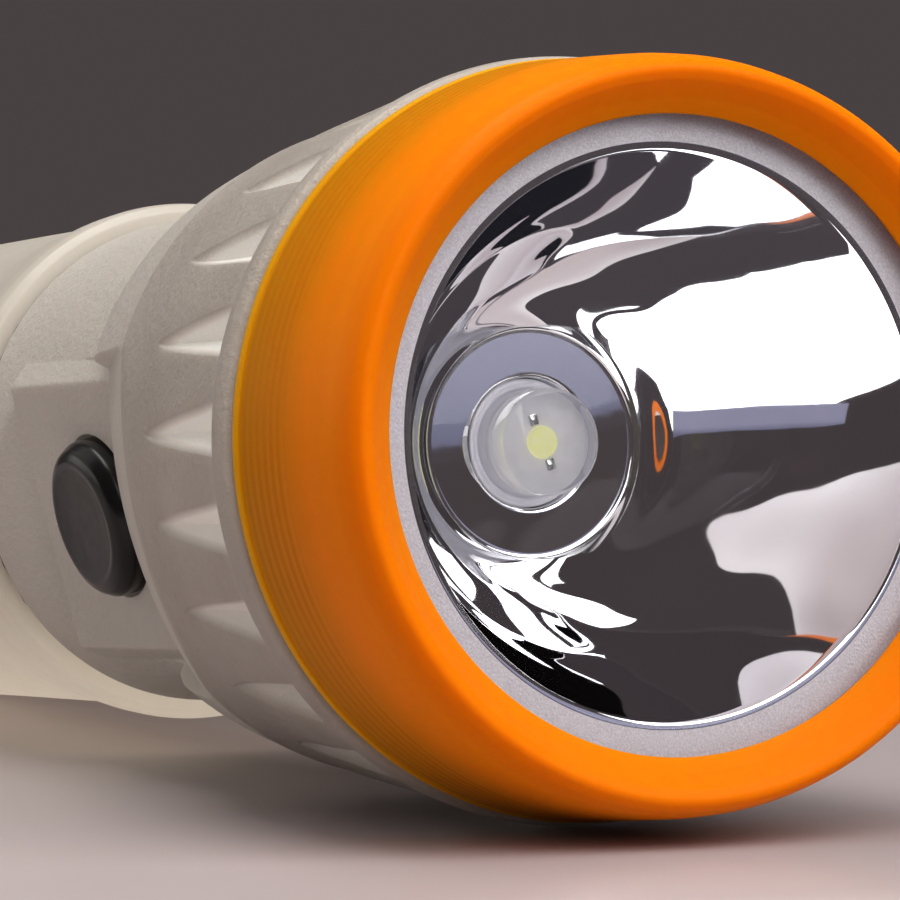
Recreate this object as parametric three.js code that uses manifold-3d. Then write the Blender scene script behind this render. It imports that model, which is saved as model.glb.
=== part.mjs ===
// Hand crank flashlight: orange bezel, frosted head with grip notches, side push
// button, rear barrel with a fold-out crank that drives a gear train and generator.
// Millimetres, +Z up. The flashlight lies on a table: its head flange and its tail
// touch z = 0, the lens looks along -Y, the button is on the -X side.
//
// Every piece is drawn in the body's own frame (below, "local"): the long axis is Y,
// y = 0 at the lens opening and growing towards the tail, +X is the crank side.

import * as THREE from 'three';
import { mergeVertices } from 'three/addons/utils/BufferGeometryUtils.js';
import Module from 'manifold-3d';

const wasm = await Module();
wasm.setup();

// ---------------------------------------------------------------- dimensions
const ROLL = 15;                 // degrees: the button faces this far below level
const SEG = 36;                  // facets of every large turned part
const R_OPEN = 22.9;             // lens opening
const R_BEZEL = 27.9;            // side band of the bezel
const R_FLANGE = 28.35;          // frosted flange behind the bezel
const Y_FLANGE0 = 14.15, Y_FLANGE1 = 17.3;
const R_NECK = 20.0;             // neck that carries the button pad
const Y_NECK_END = 81.6;
const R_TAIL = 20.4;
const Y_TAIL_EDGE = 157.0, Y_TAIL_END = 159.6;
const R_REFLECTOR = 20.5;        // bright bowl, at its rim
const R_FLAT = 8.65;             // flat bottom of the bowl
const Y_FLAT = 21.95;
const R_LED = 4.0, Y_LED = 18.4;
const NOTCHES = 24, NOTCH_PHASE = 2.8, Y_NOTCH_TIP = 33.4;
const PAD_X = 17.6, PAD_HALF = 12.4, PAD_FLAT = 11.0, PAD_Y0 = 54.4, PAD_Y1 = 75.2;
const BUTTON_Y = 62.2, BUTTON_R = 6.4, BUTTON_TOP = 19.9;
const FLAT_X = 19.2;             // flat track under the crank arm
const CRANK_Y = 140;             // crank axis
const ARM_LENGTH = 44;           // crank axis to knob pivot
const KNOB_X = 24.0, KNOB_R = 4.3;
const MOD_1 = 0.8, CRANK_TEETH = 30, IDLER_PINION_TEETH = 10;
const MOD_2 = 0.7, IDLER_TEETH = 26, ROTOR_TEETH = 10;
const IDLER_Y = CRANK_Y - MOD_1 * (CRANK_TEETH + IDLER_PINION_TEETH) / 2;
const ROTOR_Z = -2;
const ROTOR_Y = IDLER_Y - Math.sqrt((MOD_2 * (IDLER_TEETH + ROTOR_TEETH) / 2) ** 2 - ROTOR_Z ** 2);
const CELL_X = -6.5, CELL_Z = -5.1, CELL_R = 7.7;

// nose-up tilt that lays both the head flange and the tail edge on the table
const TILT = Math.atan2((R_FLANGE - R_TAIL) * Math.cos(Math.PI / SEG), Y_TAIL_EDGE - Y_FLANGE1);
// from the local frame's origin to the middle of the base of the whole part
const ORIGIN = [0, -77.302, 29.176];

// ---------------------------------------------------------------- helpers
function solidOf(geometry) {
  let g = geometry.index ? geometry.toNonIndexed() : geometry.clone();
  for (const name of Object.keys(g.attributes)) if (name !== 'position') g.deleteAttribute(name);
  g = mergeVertices(g, 1e-4);
  const p = g.attributes.position.array, idx = g.index.array, tri = [];
  let volume = 0;
  for (let i = 0; i < idx.length; i += 3) {
    const [a, b, c] = [idx[i], idx[i + 1], idx[i + 2]];
    if (a === b || b === c || a === c) continue;
    tri.push(a, b, c);
    const [ax, ay, az] = [p[3 * a], p[3 * a + 1], p[3 * a + 2]];
    const [bx, by, bz] = [p[3 * b], p[3 * b + 1], p[3 * b + 2]];
    const [cx, cy, cz] = [p[3 * c], p[3 * c + 1], p[3 * c + 2]];
    volume += ax * (by * cz - bz * cy) + ay * (bz * cx - bx * cz) + az * (bx * cy - by * cx);
  }
  if (volume < 0) for (let i = 0; i < tri.length; i += 3) [tri[i], tri[i + 1]] = [tri[i + 1], tri[i]];
  return new wasm.Manifold(new wasm.Mesh({
    numProp: 3, vertProperties: new Float32Array(p), triVerts: new Uint32Array(tri),
  }));
}

function geometryOf(solid) {
  const mesh = solid.getMesh();
  const pos = new Float32Array((mesh.vertProperties.length / mesh.numProp) * 3);
  for (let i = 0; i < pos.length / 3; i++)
    for (let k = 0; k < 3; k++) pos[3 * i + k] = mesh.vertProperties[i * mesh.numProp + k];
  const g = new THREE.BufferGeometry();
  g.setAttribute('position', new THREE.BufferAttribute(pos, 3));
  g.setIndex(new THREE.BufferAttribute(new Uint32Array(mesh.triVerts), 1));
  g.computeVertexNormals();
  return g;
}

const V2 = (x, y) => new THREE.Vector2(x, y);

// turned part about the local Y axis; a profile of [radius, y] pairs. A profile that
// doesn't start and end on the axis is closed on itself.
function turned(profile, seg = SEG) {
  const onAxis = profile[0][0] === 0 && profile[profile.length - 1][0] === 0;
  const pts = profile.map(([r, y]) => V2(r, y));
  if (!onAxis) pts.push(pts[0].clone());
  return new THREE.LatheGeometry(pts, seg, seg === SEG ? 0 : Math.PI / seg);
}
// the same about an axis along X through (y, z); a profile of [radius, x] pairs
function turnedX(profile, y, z, seg = 24) {
  const g = turned(profile, seg);
  g.rotateZ(-Math.PI / 2);
  g.translate(0, y, z);
  return g;
}
function turnedY(profile, x, z, seg = 12) {
  const g = turned(profile, seg);
  g.translate(x, 0, z);
  return g;
}
function turnedZ(profile, x, y, seg = 16) {
  const g = turned(profile, seg);
  g.rotateX(Math.PI / 2);
  g.translate(x, y, 0);
  return g;
}
const rod = (r, a, b) => [[0, a], [r, a], [r, b], [0, b]];
function block(x0, x1, y0, y1, z0, z1) {
  const g = new THREE.BoxGeometry(x1 - x0, y1 - y0, z1 - z0);
  g.translate((x0 + x1) / 2, (y0 + y1) / 2, (z0 + z1) / 2);
  return g;
}
// outline drawn in the (y, z) plane, thickness along +X from x0 to x1
const YZ_TO_X = new THREE.Matrix4().makeBasis(
  new THREE.Vector3(0, 1, 0), new THREE.Vector3(0, 0, 1), new THREE.Vector3(1, 0, 0));
function plateX(shape, x0, x1, curveSegments = 8) {
  const g = new THREE.ExtrudeGeometry(shape, { depth: x1 - x0, bevelEnabled: false, curveSegments });
  g.applyMatrix4(YZ_TO_X);
  g.translate(x0, 0, 0);
  return g;
}
function circlePath(Kind, x, y, r, n = 12) {
  const c = new Kind();
  for (let i = 0; i <= n; i++) {
    const t = (2 * Math.PI * i) / n;
    if (i === 0) c.moveTo(x + r, y);
    else if (i === n) c.closePath();
    else c.lineTo(x + r * Math.cos(t), y + r * Math.sin(t));
  }
  return c;
}
function rectShape(x0, x1, y0, y1) {
  const s = new THREE.Shape();
  s.moveTo(x0, y0); s.lineTo(x1, y0); s.lineTo(x1, y1); s.lineTo(x0, y1); s.closePath();
  return s;
}
function polyShape(points) {
  const s = new THREE.Shape();
  points.forEach(([x, y], i) => (i ? s.lineTo(x, y) : s.moveTo(x, y)));
  s.closePath();
  return s;
}

// involute gear outline about (cy, cz), one tooth centred on the angle "phase"
function gearShape(teeth, module_, cy, cz, phase, bore, boreSides = 14) {
  const rp = (teeth * module_) / 2, rb = rp * Math.cos(Math.PI / 9);
  const ra = rp + 0.85 * module_, rr = rp - 1.12 * module_;
  const slack = 0.13;                                    // backlash taken off each tooth
  const half = (Math.PI / 2 / teeth) - slack / 2 / rp;   // half tooth angle at the pitch circle
  const inv = (r) => { const c = Math.min(1, rb / r); const a = Math.acos(c); return Math.tan(a) - a; };
  const at = (r) => half + inv(rp) - inv(Math.max(r, rb));
  const rs = [rp - 0.25 * module_, ra];
  const s = new THREE.Shape();
  let first = true;
  const put = (r, t) => {
    const x = cy + r * Math.cos(t), y = cz + r * Math.sin(t);
    if (first) { s.moveTo(x, y); first = false; } else s.lineTo(x, y);
  };
  for (let i = 0; i < teeth; i++) {
    const t0 = phase + (2 * Math.PI * i) / teeth;
    put(rr, t0 - at(rb));
    for (const r of rs) put(r, t0 - at(r));
    for (const r of [...rs].reverse()) put(r, t0 + at(r));
    put(rr, t0 + at(rb));
  }
  s.closePath();
  if (bore) s.holes.push(circlePath(THREE.Path, cy, cz, bore, boreSides));
  return s;
}

// ---------------------------------------------------------------- materials
const mat = (name, color, roughness, metalness, extra = {}) =>
  Object.assign(new THREE.MeshStandardMaterial({ color, roughness, metalness, ...extra }), { name });
const orange = () => mat('orange_plastic', 0xe87a10, 0.35, 0);
const frosted = () => mat('frosted_plastic', 0xc9bfb2, 0.5, 0, { transparent: true, opacity: 0.85 });
const cream = () => mat('cream_plastic', 0xddd3c4, 0.45, 0);
const clear = () => mat('clear_plastic', 0xf2f4f6, 0.05, 0, { transparent: true, opacity: 0.25 });
const black = () => mat('black_rubber', 0x17171a, 0.3, 0);
const chrome = () => mat('chrome_coating', 0xe9eaee, 0.03, 1);
const white = () => mat('white_plastic', 0xe6e2da, 0.45, 0);
const steel = () => mat('steel', 0xa9adb3, 0.3, 1);
const alloy = () => mat('aluminium', 0xc9ccd0, 0.3, 1);
const green = () => mat('circuit_board', 0x1f6b3a, 0.45, 0);
const nickel = () => mat('cell_can', 0xc2c6c8, 0.25, 1);
const copper = () => mat('copper_wire', 0xb4682f, 0.35, 1);
const magnet = () => mat('magnet', 0x3a3836, 0.5, 0.3);
const yellow = () => mat('yellow_sleeve', 0xd9a11c, 0.45, 0);

// ---------------------------------------------------------------- the part
const part = new THREE.Group();
const tilted = new THREE.Group();
const body = new THREE.Group();
part.add(tilted);
tilted.add(body);
tilted.position.set(...ORIGIN);
tilted.rotation.x = -TILT;
body.rotation.y = THREE.MathUtils.degToRad(-ROLL);

function add(name, geometry, material) {
  const mesh = new THREE.Mesh(geometryOf(geometry.getMesh ? geometry : solidOf(geometry)), material);
  mesh.name = name;
  body.add(mesh);
  return mesh;
}
const S = solidOf;

// bezel: a hollow ring with a rounded front, a drafted side band and a rear bead
add('bezel_ring', turned([
  [R_OPEN, -1.45], [R_OPEN, -1.75], [24.0, -2.65], [25.2, -3.75], [26.2, -4.3],
  [26.8, -3.4], [27.15, -1.9], [27.4, 0.4], [27.6, 5.0], [R_BEZEL, 11.0], [R_BEZEL, 13.8], [25.9, 13.8], [25.9, -1.45],
]), orange());

// clear front lens
add('front_lens', turned([[0, -1.15], [25.4, -1.15], [25.4, -0.1], [0, -0.1]]), clear());

// rubber ring between the reflector's flange and the head's front edge
add('lens_seal', turned([[23.9, 3.8], [25.3, 3.8], [25.3, 4.7], [23.9, 4.7]]), black());

// reflector: plated bowl with a flat bottom and a hole for the lamp
{
  const y0 = 0.2;
  const inner = [[R_REFLECTOR, y0], [19.3, 3.7], [18.0, 7.43], [16.0, 12.32], [14.0, 15.88], [12.2, 18.38], [10.8, 19.9], [R_FLAT, Y_FLAT]];
  const outer = [[24.2, 3.4], [24.2, 1.3], [21.9, 1.3], [18.9, 8.6], [14.6, 17.4], [9.9, 23.1]];
  const profile = [[4.9, Y_FLAT], ...inner.slice().reverse(), [25.4, y0], [25.4, 3.4], ...outer, [4.9, 23.1]];
  let s = S(turned(profile));
  for (const x of [-7, 7]) {
    s = s.add(S(turnedY(rod(1.5, 22.4, 24.2), x, 0, 10)));
    s = s.subtract(S(turnedY(rod(0.95, 23.0, 24.6), x, 0, 8)));
  }
  add('reflector', s, chrome());
}

// lamp: flat-topped light emitting diode with two leads
{
  let s = S(turned([[0, Y_LED], [3.7, Y_LED], [R_LED, Y_LED + 0.3], [R_LED, 23.4], [5.1, 23.4], [5.1, 24.2], [0, 24.2]], 28));
  for (const x of [-1.27, 1.27]) s = s.add(S(block(x - 0.3, x + 0.3, 24.0, 27.4, -0.3, 0.3)));
  add('led', s, clear());
}

// lamp board and its two screws
{
  const shape = circlePath(THREE.Shape, 0, 0, 9.2, 28);
  for (const x of [-7, 7]) shape.holes.push(circlePath(THREE.Path, x, 0, 1.0, 10));
  for (const x of [-1.27, 1.27]) shape.holes.push(circlePath(THREE.Path, x, 0, 0.8, 8));
  const g = new THREE.ExtrudeGeometry(shape, { depth: 1.4, bevelEnabled: false });
  g.rotateX(-Math.PI / 2);
  g.translate(0, 24.6, 0);
  add('led_board', g, green());
}
const screwY = (x, z, head, y0, yHead, thick, r = 0.62, seg = 8) =>
  turnedY([[0, y0], [r, y0], [r, yHead], [head, yHead], [head, yHead + thick * 0.6], [head * 0.75, yHead + thick], [0, yHead + thick]], x, z, seg);
add('led_screw_1', screwY(-7, 0, 1.6, 23.4, 26.3, 1.0), steel());
add('led_screw_2', screwY(7, 0, 1.6, 23.4, 26.3, 1.0), steel());

// head shell: front tube, flange, bulb with grip notches, neck with the button pad
{
  const outer = [
    [25.4, 5.0], [25.4, Y_FLANGE0], [R_FLANGE, Y_FLANGE0], [R_FLANGE, Y_FLANGE1],
    [27.9, Y_FLANGE1 + 0.25], [27.05, 26], [26.1, 35], [25.25, 42.6], [24.05, 50],
    [22.6, 54], [21.6, 56], [20.8, 58], [20.15, 61.8], [R_NECK, 66], [R_NECK, Y_NECK_END],
  ];
  const inner = [
    [18.3, Y_NECK_END], [18.3, 58.6], [20.2, 54], [22.6, 42], [23.6, 30], [23.6, 5.0],
  ];
  let s = S(turned([...outer, ...inner]));
  // grip notches: V grooves that open towards the flange and end in a point
  const cutter = (() => {
    const p = [[-3.3, 29.1], [3.3, 29.1], [0, 26.0]];
    const g = new THREE.BufferGeometry();
    const a = [p[0][0], Y_FLANGE1 + 0.25, p[0][1]], b = [p[1][0], Y_FLANGE1 + 0.25, p[1][1]];
    const c = [p[2][0], Y_FLANGE1 + 0.25, p[2][1]], t = [0, Y_NOTCH_TIP, 26.28];
    g.setAttribute('position', new THREE.BufferAttribute(new Float32Array([
      ...a, ...b, ...c, ...a, ...t, ...b, ...b, ...t, ...c, ...c, ...t, ...a]), 3));
    return g;
  })();
  for (let i = 0; i < NOTCHES; i++) {
    const g = cutter.clone();
    g.rotateY((2 * Math.PI * i) / NOTCHES + THREE.MathUtils.degToRad(NOTCH_PHASE));
    s = s.subtract(S(g));
  }
  // recess for the button: a flat, a low front wall, a long ramp in the bulb and a short one behind
  const recess = polyShape([
    [PAD_Y0, PAD_X], [PAD_Y0 - 0.1, 19.1], [36.0, 25.7], [33.0, 34], [82.5, 34], [82.5, 20.8], [PAD_Y1, PAD_X]]);
  const cut = new THREE.ExtrudeGeometry(recess, { depth: 2 * PAD_HALF, bevelEnabled: false });
  // drawn as (y, distance from the axis): turn it to (y, -x), depth along z
  const side = new THREE.Matrix4().makeBasis(
    new THREE.Vector3(0, 1, 0), new THREE.Vector3(-1, 0, 0), new THREE.Vector3(0, 0, 1));
  cut.applyMatrix4(side);
  cut.translate(0, 0, -PAD_HALF);
  // the wall is thicker inside, under both ramps, so that the recess doesn't open it
  const skin = S(turned([[0, 5.0], ...outer, [0, Y_NECK_END]]));
  for (const [half, points] of [
    [PAD_HALF, [[34.5, 22.9], [34.5, 30], [PAD_Y0, 30], [PAD_Y0, 15.8], [52.4, 15.8], [49.0, 18.6]]],
    [8, [[PAD_Y1 - 1, 15.8], [PAD_Y1 - 1, 19], [77.8, 19], [77.8, 15.8]]]]) {
    const g = new THREE.ExtrudeGeometry(polyShape(points), { depth: 2 * half, bevelEnabled: false });
    g.applyMatrix4(side);
    g.translate(0, 0, -half);
    s = s.add(S(g).intersect(skin));
  }
  s = s.subtract(S(cut));
  // raised plate of the pad, with slanted sides
  const plate = new THREE.ExtrudeGeometry(
    polyShape([[-PAD_X, -PAD_FLAT], [-15.8, -12.35], [-15.8, 12.35], [-PAD_X, PAD_FLAT]]),
    { depth: 23.4, bevelEnabled: false });
  // drawn as (x, z): depth along -y
  plate.applyMatrix4(new THREE.Matrix4().makeBasis(
    new THREE.Vector3(1, 0, 0), new THREE.Vector3(0, 0, 1), new THREE.Vector3(0, -1, 0)));
  plate.translate(0, PAD_Y1, 0);
  s = s.add(S(plate));
  // hole for the button, two posts behind the pad for the switch board
  s = s.subtract(S(turnedX(rod(BUTTON_R + 0.4, -22, -15), BUTTON_Y, 0, 28)));
  for (const z of [-5.2, 5.2]) {
    s = s.add(S(turnedX(rod(1.7, -16.4, -8.4), 71.8, z, 10)));
    s = s.subtract(S(turnedX(rod(0.95, -13, -8), 71.8, z, 8)));
  }
  add('head_shell', s, frosted());
}

// push button with a retaining flange behind the pad
add('switch_button', turnedX([
  [0, -BUTTON_TOP + 0.35], [3.4, -BUTTON_TOP + 0.25], [4.7, -BUTTON_TOP], [5.5, -BUTTON_TOP + 0.1], [6.1, -BUTTON_TOP + 0.6],
  [BUTTON_R, -BUTTON_TOP + 1.4], [BUTTON_R, -15.4], [7.7, -15.4], [7.7, -14.4], [0, -14.4],
], BUTTON_Y, 0, 28), black());

// switch, its board and screws
{
  let s = S(block(-12.2, -8.3, BUTTON_Y - 4.5, BUTTON_Y + 4.5, -4.5, 4.5));
  s = s.add(S(turnedX(rod(1.7, -12.7, -12.0), BUTTON_Y, 0, 12)));
  add('switch_body', s, black());
  const shape = rectShape(55.6, 74.6, -7.6, 7.6);
  for (const z of [-5.2, 5.2]) shape.holes.push(circlePath(THREE.Path, 71.8, z, 0.95, 10));
  add('switch_board', plateX(shape, -8.0, -6.6), green());
}
const screwX = (y, z, head, x0, xHead, thick, r = 0.6, seg = 8) =>
  turnedX([[0, x0], [r, x0], [r, xHead], [head, xHead], [head, xHead + thick * 0.6], [head * 0.75, xHead + thick], [0, xHead + thick]], y, z, seg);
add('switch_screw_1', screwX(71.8, -5.2, 1.5, -12.2, -6.3, 1.0), steel());
add('switch_screw_2', screwX(71.8, 5.2, 1.5, -12.2, -6.3, 1.0), steel());

// lamp leads to the switch board
for (const [name, sgn] of [['lamp_wire_red', 1], ['lamp_wire_black', -1]]) {
  const path = new THREE.CatmullRomCurve3([
    new THREE.Vector3(1.0, 27.2, 4.6 * sgn), new THREE.Vector3(0.2, 30.5, 6.2 * sgn), new THREE.Vector3(-3.5, 38, 7.2 * sgn),
    new THREE.Vector3(-6.0, 46, 5.6 * sgn), new THREE.Vector3(-7.2, 51, 3.8 * sgn), new THREE.Vector3(-7.3, 55.2, 3.2 * sgn)]);
  const ring = circlePath(THREE.Shape, 0, 0, 0.65, 8);
  add(name, new THREE.ExtrudeGeometry(ring, { steps: 14, bevelEnabled: false, extrudePath: path }),
    sgn > 0 ? mat('red_wire', 0xb02018, 0.5, 0) : black());
}

// seal squeezed between neck and barrel
add('neck_seal', turned([[18.25, 81.95], [19.7, 81.95], [19.7, 82.45], [18.25, 82.45]]), black());

// rear barrel: spigot, ring, long drafted tube, flat track for the crank
{
  let s = S(turned([
    [17.9, 78.6], [17.9, 82.8], [21.2, 82.8], [21.6, 84.2], [21.45, 86.6], [21.0, 90.2], [20.6, 94],
    [20.4, 100], [20.2, 118], [19.95, 153.6], [17.95, 153.6], [17.95, 83.8], [16.4, 82.2], [16.4, 78.6],
  ]));
  s = s.subtract(S(block(FLAT_X, 30, 70, 170, -20, 20)));
  s = s.subtract(S(turnedX(rod(4.9, 15, 25), CRANK_Y, 0, 24)));
  for (const z of [-15.6, 15.6]) {
    s = s.add(S(turnedY(rod(2.6, 145, 153.6), 0, z, 12)));
    s = s.subtract(S(turnedY(rod(0.95, 147, 154), 0, z, 8)));
  }
  add('rear_barrel', s, cream());
}

// tail cap with two counterbored screws
{
  let s = S(turned([
    [0, 157.6], [12.6, 157.6], [12.6, 153.9], [20.1, 153.9], [R_TAIL, 154.4], [R_TAIL, Y_TAIL_EDGE],
    [19.8, 158.7], [18.4, Y_TAIL_END], [0, Y_TAIL_END]]));
  s = s.subtract(S(block(FLAT_X, 30, 150, 165, -20, 20)));
  for (const z of [-15.6, 15.6]) {
    s = s.subtract(S(turnedY(rod(1.05, 153, 160), 0, z, 8)));
    s = s.subtract(S(turnedY(rod(2.3, 157.7, 161), 0, z, 12)));
  }
  add('tail_cap', s, cream());
}
add('tail_screw_1', screwY(0, -15.6, 1.9, 149, 158.0, 1.2), steel());
add('tail_screw_2', screwY(0, 15.6, 1.9, 149, 158.0, 1.2), steel());

// rechargeable cells in a cradle
{
  const s = new THREE.Shape();
  const a0 = -200 * Math.PI / 180, a1 = 20 * Math.PI / 180, n = 22;
  for (let i = 0; i <= n; i++) {
    const t = a0 + ((a1 - a0) * i) / n;
    const x = CELL_X + 9.0 * Math.cos(t), z = CELL_Z + 9.0 * Math.sin(t);
    if (i) s.lineTo(x, -z); else s.moveTo(x, -z);
  }
  for (let i = n; i >= 0; i--) {
    const t = a0 + ((a1 - a0) * i) / n;
    s.lineTo(CELL_X + 8.0 * Math.cos(t), -(CELL_Z + 8.0 * Math.sin(t)));
  }
  s.closePath();
  const g = new THREE.ExtrudeGeometry(s, { depth: 17.2, bevelEnabled: false });
  g.rotateX(-Math.PI / 2);
  g.translate(0, 84.0, 0);
  add('battery_cradle', g, white());
  [84.2, 89.9, 95.6].forEach((y, i) => add(`battery_cell_${i + 1}`, turnedY(
    [[0, y], [5.6, y], [5.9, y + 0.5], [CELL_R - 0.3, y + 0.5], [CELL_R, y + 0.9], [CELL_R, y + 5.4], [0, y + 5.4]],
    CELL_X, CELL_Z, 24), nickel()));
}

// charging board with its rectifier and capacitor
add('charge_board', block(-13, 13, 85, 101.2, 3.6, 5.0), green());
add('rectifier', block(5.5, 11.5, 92, 98.5, 5.3, 7.7), black());
add('capacitor', turnedX([[0, -9], [3.0, -9], [3.2, -8.6], [3.2, 3.6], [3.0, 4.0], [0, 4.0]], 89.6, 8.8, 16), yellow());

// gearbox frame: plate with four posts; cover plate; screws
const POSTS = [[CRANK_Y + 12, 8.4], [CRANK_Y + 12, -8.4], [IDLER_Y - 7, 10.1], [IDLER_Y + 5.4, -10.0]];
const PLATE = [102.7, 153.3, -11.4, 11.4];
{
  const shape = rectShape(...PLATE);
  shape.holes.push(circlePath(THREE.Path, CRANK_Y, 0, 1.85, 12));
  shape.holes.push(circlePath(THREE.Path, IDLER_Y, 0, 1.3, 10));
  shape.holes.push(circlePath(THREE.Path, ROTOR_Y, ROTOR_Z, 1.15, 10));
  let s = S(plateX(shape, -13.3, -12.1));
  for (const [y, z] of POSTS) {
    s = s.add(S(turnedX(rod(1.6, -12.5, 10.3), y, z, 10)));
    s = s.subtract(S(turnedX(rod(0.9, 6.8, 11), y, z, 8)));
  }
  add('gear_frame', s, white());
  const cover = rectShape(...PLATE);
  cover.holes.push(circlePath(THREE.Path, CRANK_Y, 0, 2.8, 14));
  cover.holes.push(circlePath(THREE.Path, IDLER_Y, 0, 1.3, 10));
  cover.holes.push(circlePath(THREE.Path, ROTOR_Y, ROTOR_Z, 1.15, 10));
  for (const [y, z] of POSTS) cover.holes.push(circlePath(THREE.Path, y, z, 0.9, 8));
  add('gear_cover', plateX(cover, 10.6, 11.8), white());
  POSTS.forEach(([y, z], i) => add(`gearbox_screw_${i + 1}`, screwX(y, z, 1.4, 7.2, 12.1, 0.9, 0.58, 8), steel()));
}

// crank shaft: steel, journal at the inner end, square drive at the outer end
{
  let s = S(turnedX([[0, -13.6], [1.5, -13.6], [1.5, -11.8], [2.4, -11.8], [2.4, 19.6], [0, 19.6]], CRANK_Y, 0, 16));
  s = s.add(S(block(19.3, 23.1, CRANK_Y - 2.1, CRANK_Y + 2.1, -2.1, 2.1)));
  s = s.subtract(S(turnedX(rod(1.2, 16.5, 24), CRANK_Y, 0, 10)));
  add('crank_shaft', s, alloy());
}
add('crank_gear', plateX(gearShape(CRANK_TEETH, MOD_1, CRANK_Y, 0, Math.PI, 2.7), 5.3, 9.3), white());
// compound idler: pinion driven by the crank gear, wheel driving the rotor
const TO_ROTOR = Math.atan2(ROTOR_Z, ROTOR_Y - IDLER_Y);
{
  const wheel = S(plateX(gearShape(IDLER_TEETH, MOD_2, IDLER_Y, 0, TO_ROTOR, 1.3), 0.5, 4.5));
  const pinion = S(plateX(gearShape(IDLER_PINION_TEETH, MOD_1, IDLER_Y, 0, Math.PI / IDLER_PINION_TEETH, 1.3), 4.3, 9.5));
  add('idler_gear', wheel.add(pinion), white());
}
add('idler_axle', turnedX(rod(1.0, -13.2, 11.7), IDLER_Y, 0, 12), steel());
add('rotor_pinion', plateX(gearShape(ROTOR_TEETH, MOD_2, ROTOR_Y, ROTOR_Z, TO_ROTOR + Math.PI + Math.PI / ROTOR_TEETH, 1.15, 10), 0.4, 4.7), mat('brass', 0xc79a45, 0.3, 1));
add('rotor_shaft', turnedX(rod(0.85, -13.2, 11.7), ROTOR_Y, ROTOR_Z, 10), steel());
add('rotor_magnet', turnedX([[1.15, -10.6], [5.7, -10.6], [6.0, -10.2], [6.0, -3.4], [5.7, -3.0], [1.15, -3.0]], ROTOR_Y, ROTOR_Z, 24), magnet());
add('generator_coil', turnedX([[6.5, -11.2], [8.7, -11.2], [8.7, -2.1], [6.5, -2.1]], ROTOR_Y, ROTOR_Z, 28), copper());
add('generator_case', turnedX([
  [1.7, -1.7], [9.0, -1.7], [9.0, -11.7], [9.8, -11.7], [9.8, -1.2], [9.5, -0.9], [1.7, -0.9]], ROTOR_Y, ROTOR_Z, 28), steel());

// bushing in the barrel wall, crank arm with its slot, screw
add('crank_bushing', turnedX([[2.75, 16.4], [4.55, 16.4], [4.55, 19.1], [2.75, 19.1]], CRANK_Y, 0, 20), white());
const KNOB_Y = CRANK_Y - ARM_LENGTH;
{
  const hub = 9.4, tip = 7.4, pts = [];
  // outline: round hub, tapering sides, round tip
  const a = Math.asin((hub - tip) / ARM_LENGTH);
  for (let i = 0; i <= 14; i++) { const t = -Math.PI / 2 - a + ((Math.PI + 2 * a) * i) / 14; pts.push([CRANK_Y + hub * Math.cos(t), hub * Math.sin(t)]); }
  for (let i = 0; i <= 12; i++) { const t = Math.PI / 2 + a + ((Math.PI - 2 * a) * i) / 12; pts.push([KNOB_Y + tip * Math.cos(t), tip * Math.sin(t)]); }
  const shape = polyShape(pts);
  shape.holes.push((() => {
    const h = new THREE.Path();
    [[KNOB_Y - 4.0, -5.0], [KNOB_Y + 23.6, -5.0], [KNOB_Y + 23.6, 5.0], [KNOB_Y - 4.0, 5.0]].forEach(([y, z], i) => (i ? h.lineTo(y, z) : h.moveTo(y, z)));
    h.closePath();
    return h;
  })());
  let s = S(plateX(shape, 19.8, 25.8));
  s = s.subtract(S(block(19, 27, CRANK_Y - 2.45, CRANK_Y + 2.45, -2.45, 2.45)));
  s = s.subtract(S(turnedX(rod(3.7, 23.4, 27), CRANK_Y, 0, 20)));
  s = s.subtract(S(turnedZ(rod(1.4, -9, 9), KNOB_X, KNOB_Y, 12)));
  add('crank_arm', s, frosted());
}
add('crank_screw', screwX(CRANK_Y, 0, 3.2, 17.2, 23.7, 1.6, 0.85, 12), steel());

// folding knob: pin, yoke with spindle, spinning grip, retaining screw
add('knob_pin', turnedZ(rod(1.05, -7.2, 7.2), KNOB_X, KNOB_Y, 12), steel());
{
  let s = S(turnedZ(rod(3.0, -4.6, 4.6), KNOB_X, KNOB_Y, 20));
  s = s.add(S(turnedY(rod(1.75, KNOB_Y + 1.5, KNOB_Y + 18.0), KNOB_X, 0, 14)));
  s = s.subtract(S(turnedZ(rod(1.4, -6, 6), KNOB_X, KNOB_Y, 12)));
  s = s.subtract(S(turnedY(rod(0.9, KNOB_Y + 12, KNOB_Y + 19), KNOB_X, 0, 8)));
  add('knob_yoke', s, white());
}
add('knob_grip', turnedY([
  [2.1, KNOB_Y + 3.7], [3.5, KNOB_Y + 3.7], [4.05, KNOB_Y + 4.6], [KNOB_R, KNOB_Y + 7.5], [KNOB_R, KNOB_Y + 15.5], [4.0, KNOB_Y + 18.8],
  [3.4, KNOB_Y + 19.8], [2.9, KNOB_Y + 19.8], [2.9, KNOB_Y + 18.1], [2.1, KNOB_Y + 18.1]], KNOB_X, 0, 24), orange());
add('knob_screw', screwY(KNOB_X, 0, 2.55, KNOB_Y + 12.6, KNOB_Y + 18.4, 1.1, 0.6, 12), steel());

export default part;
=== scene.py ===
# Looks of a hand crank flashlight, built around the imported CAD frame.
# Lengths in the shape code are millimetres in the light's own frame: the long axis is
# Y (0 at the lens opening, growing to the tail), -X is the button side, +X the crank.
import math

import bmesh
import bpy
import numpy as np
from mathutils import Matrix, Vector


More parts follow.
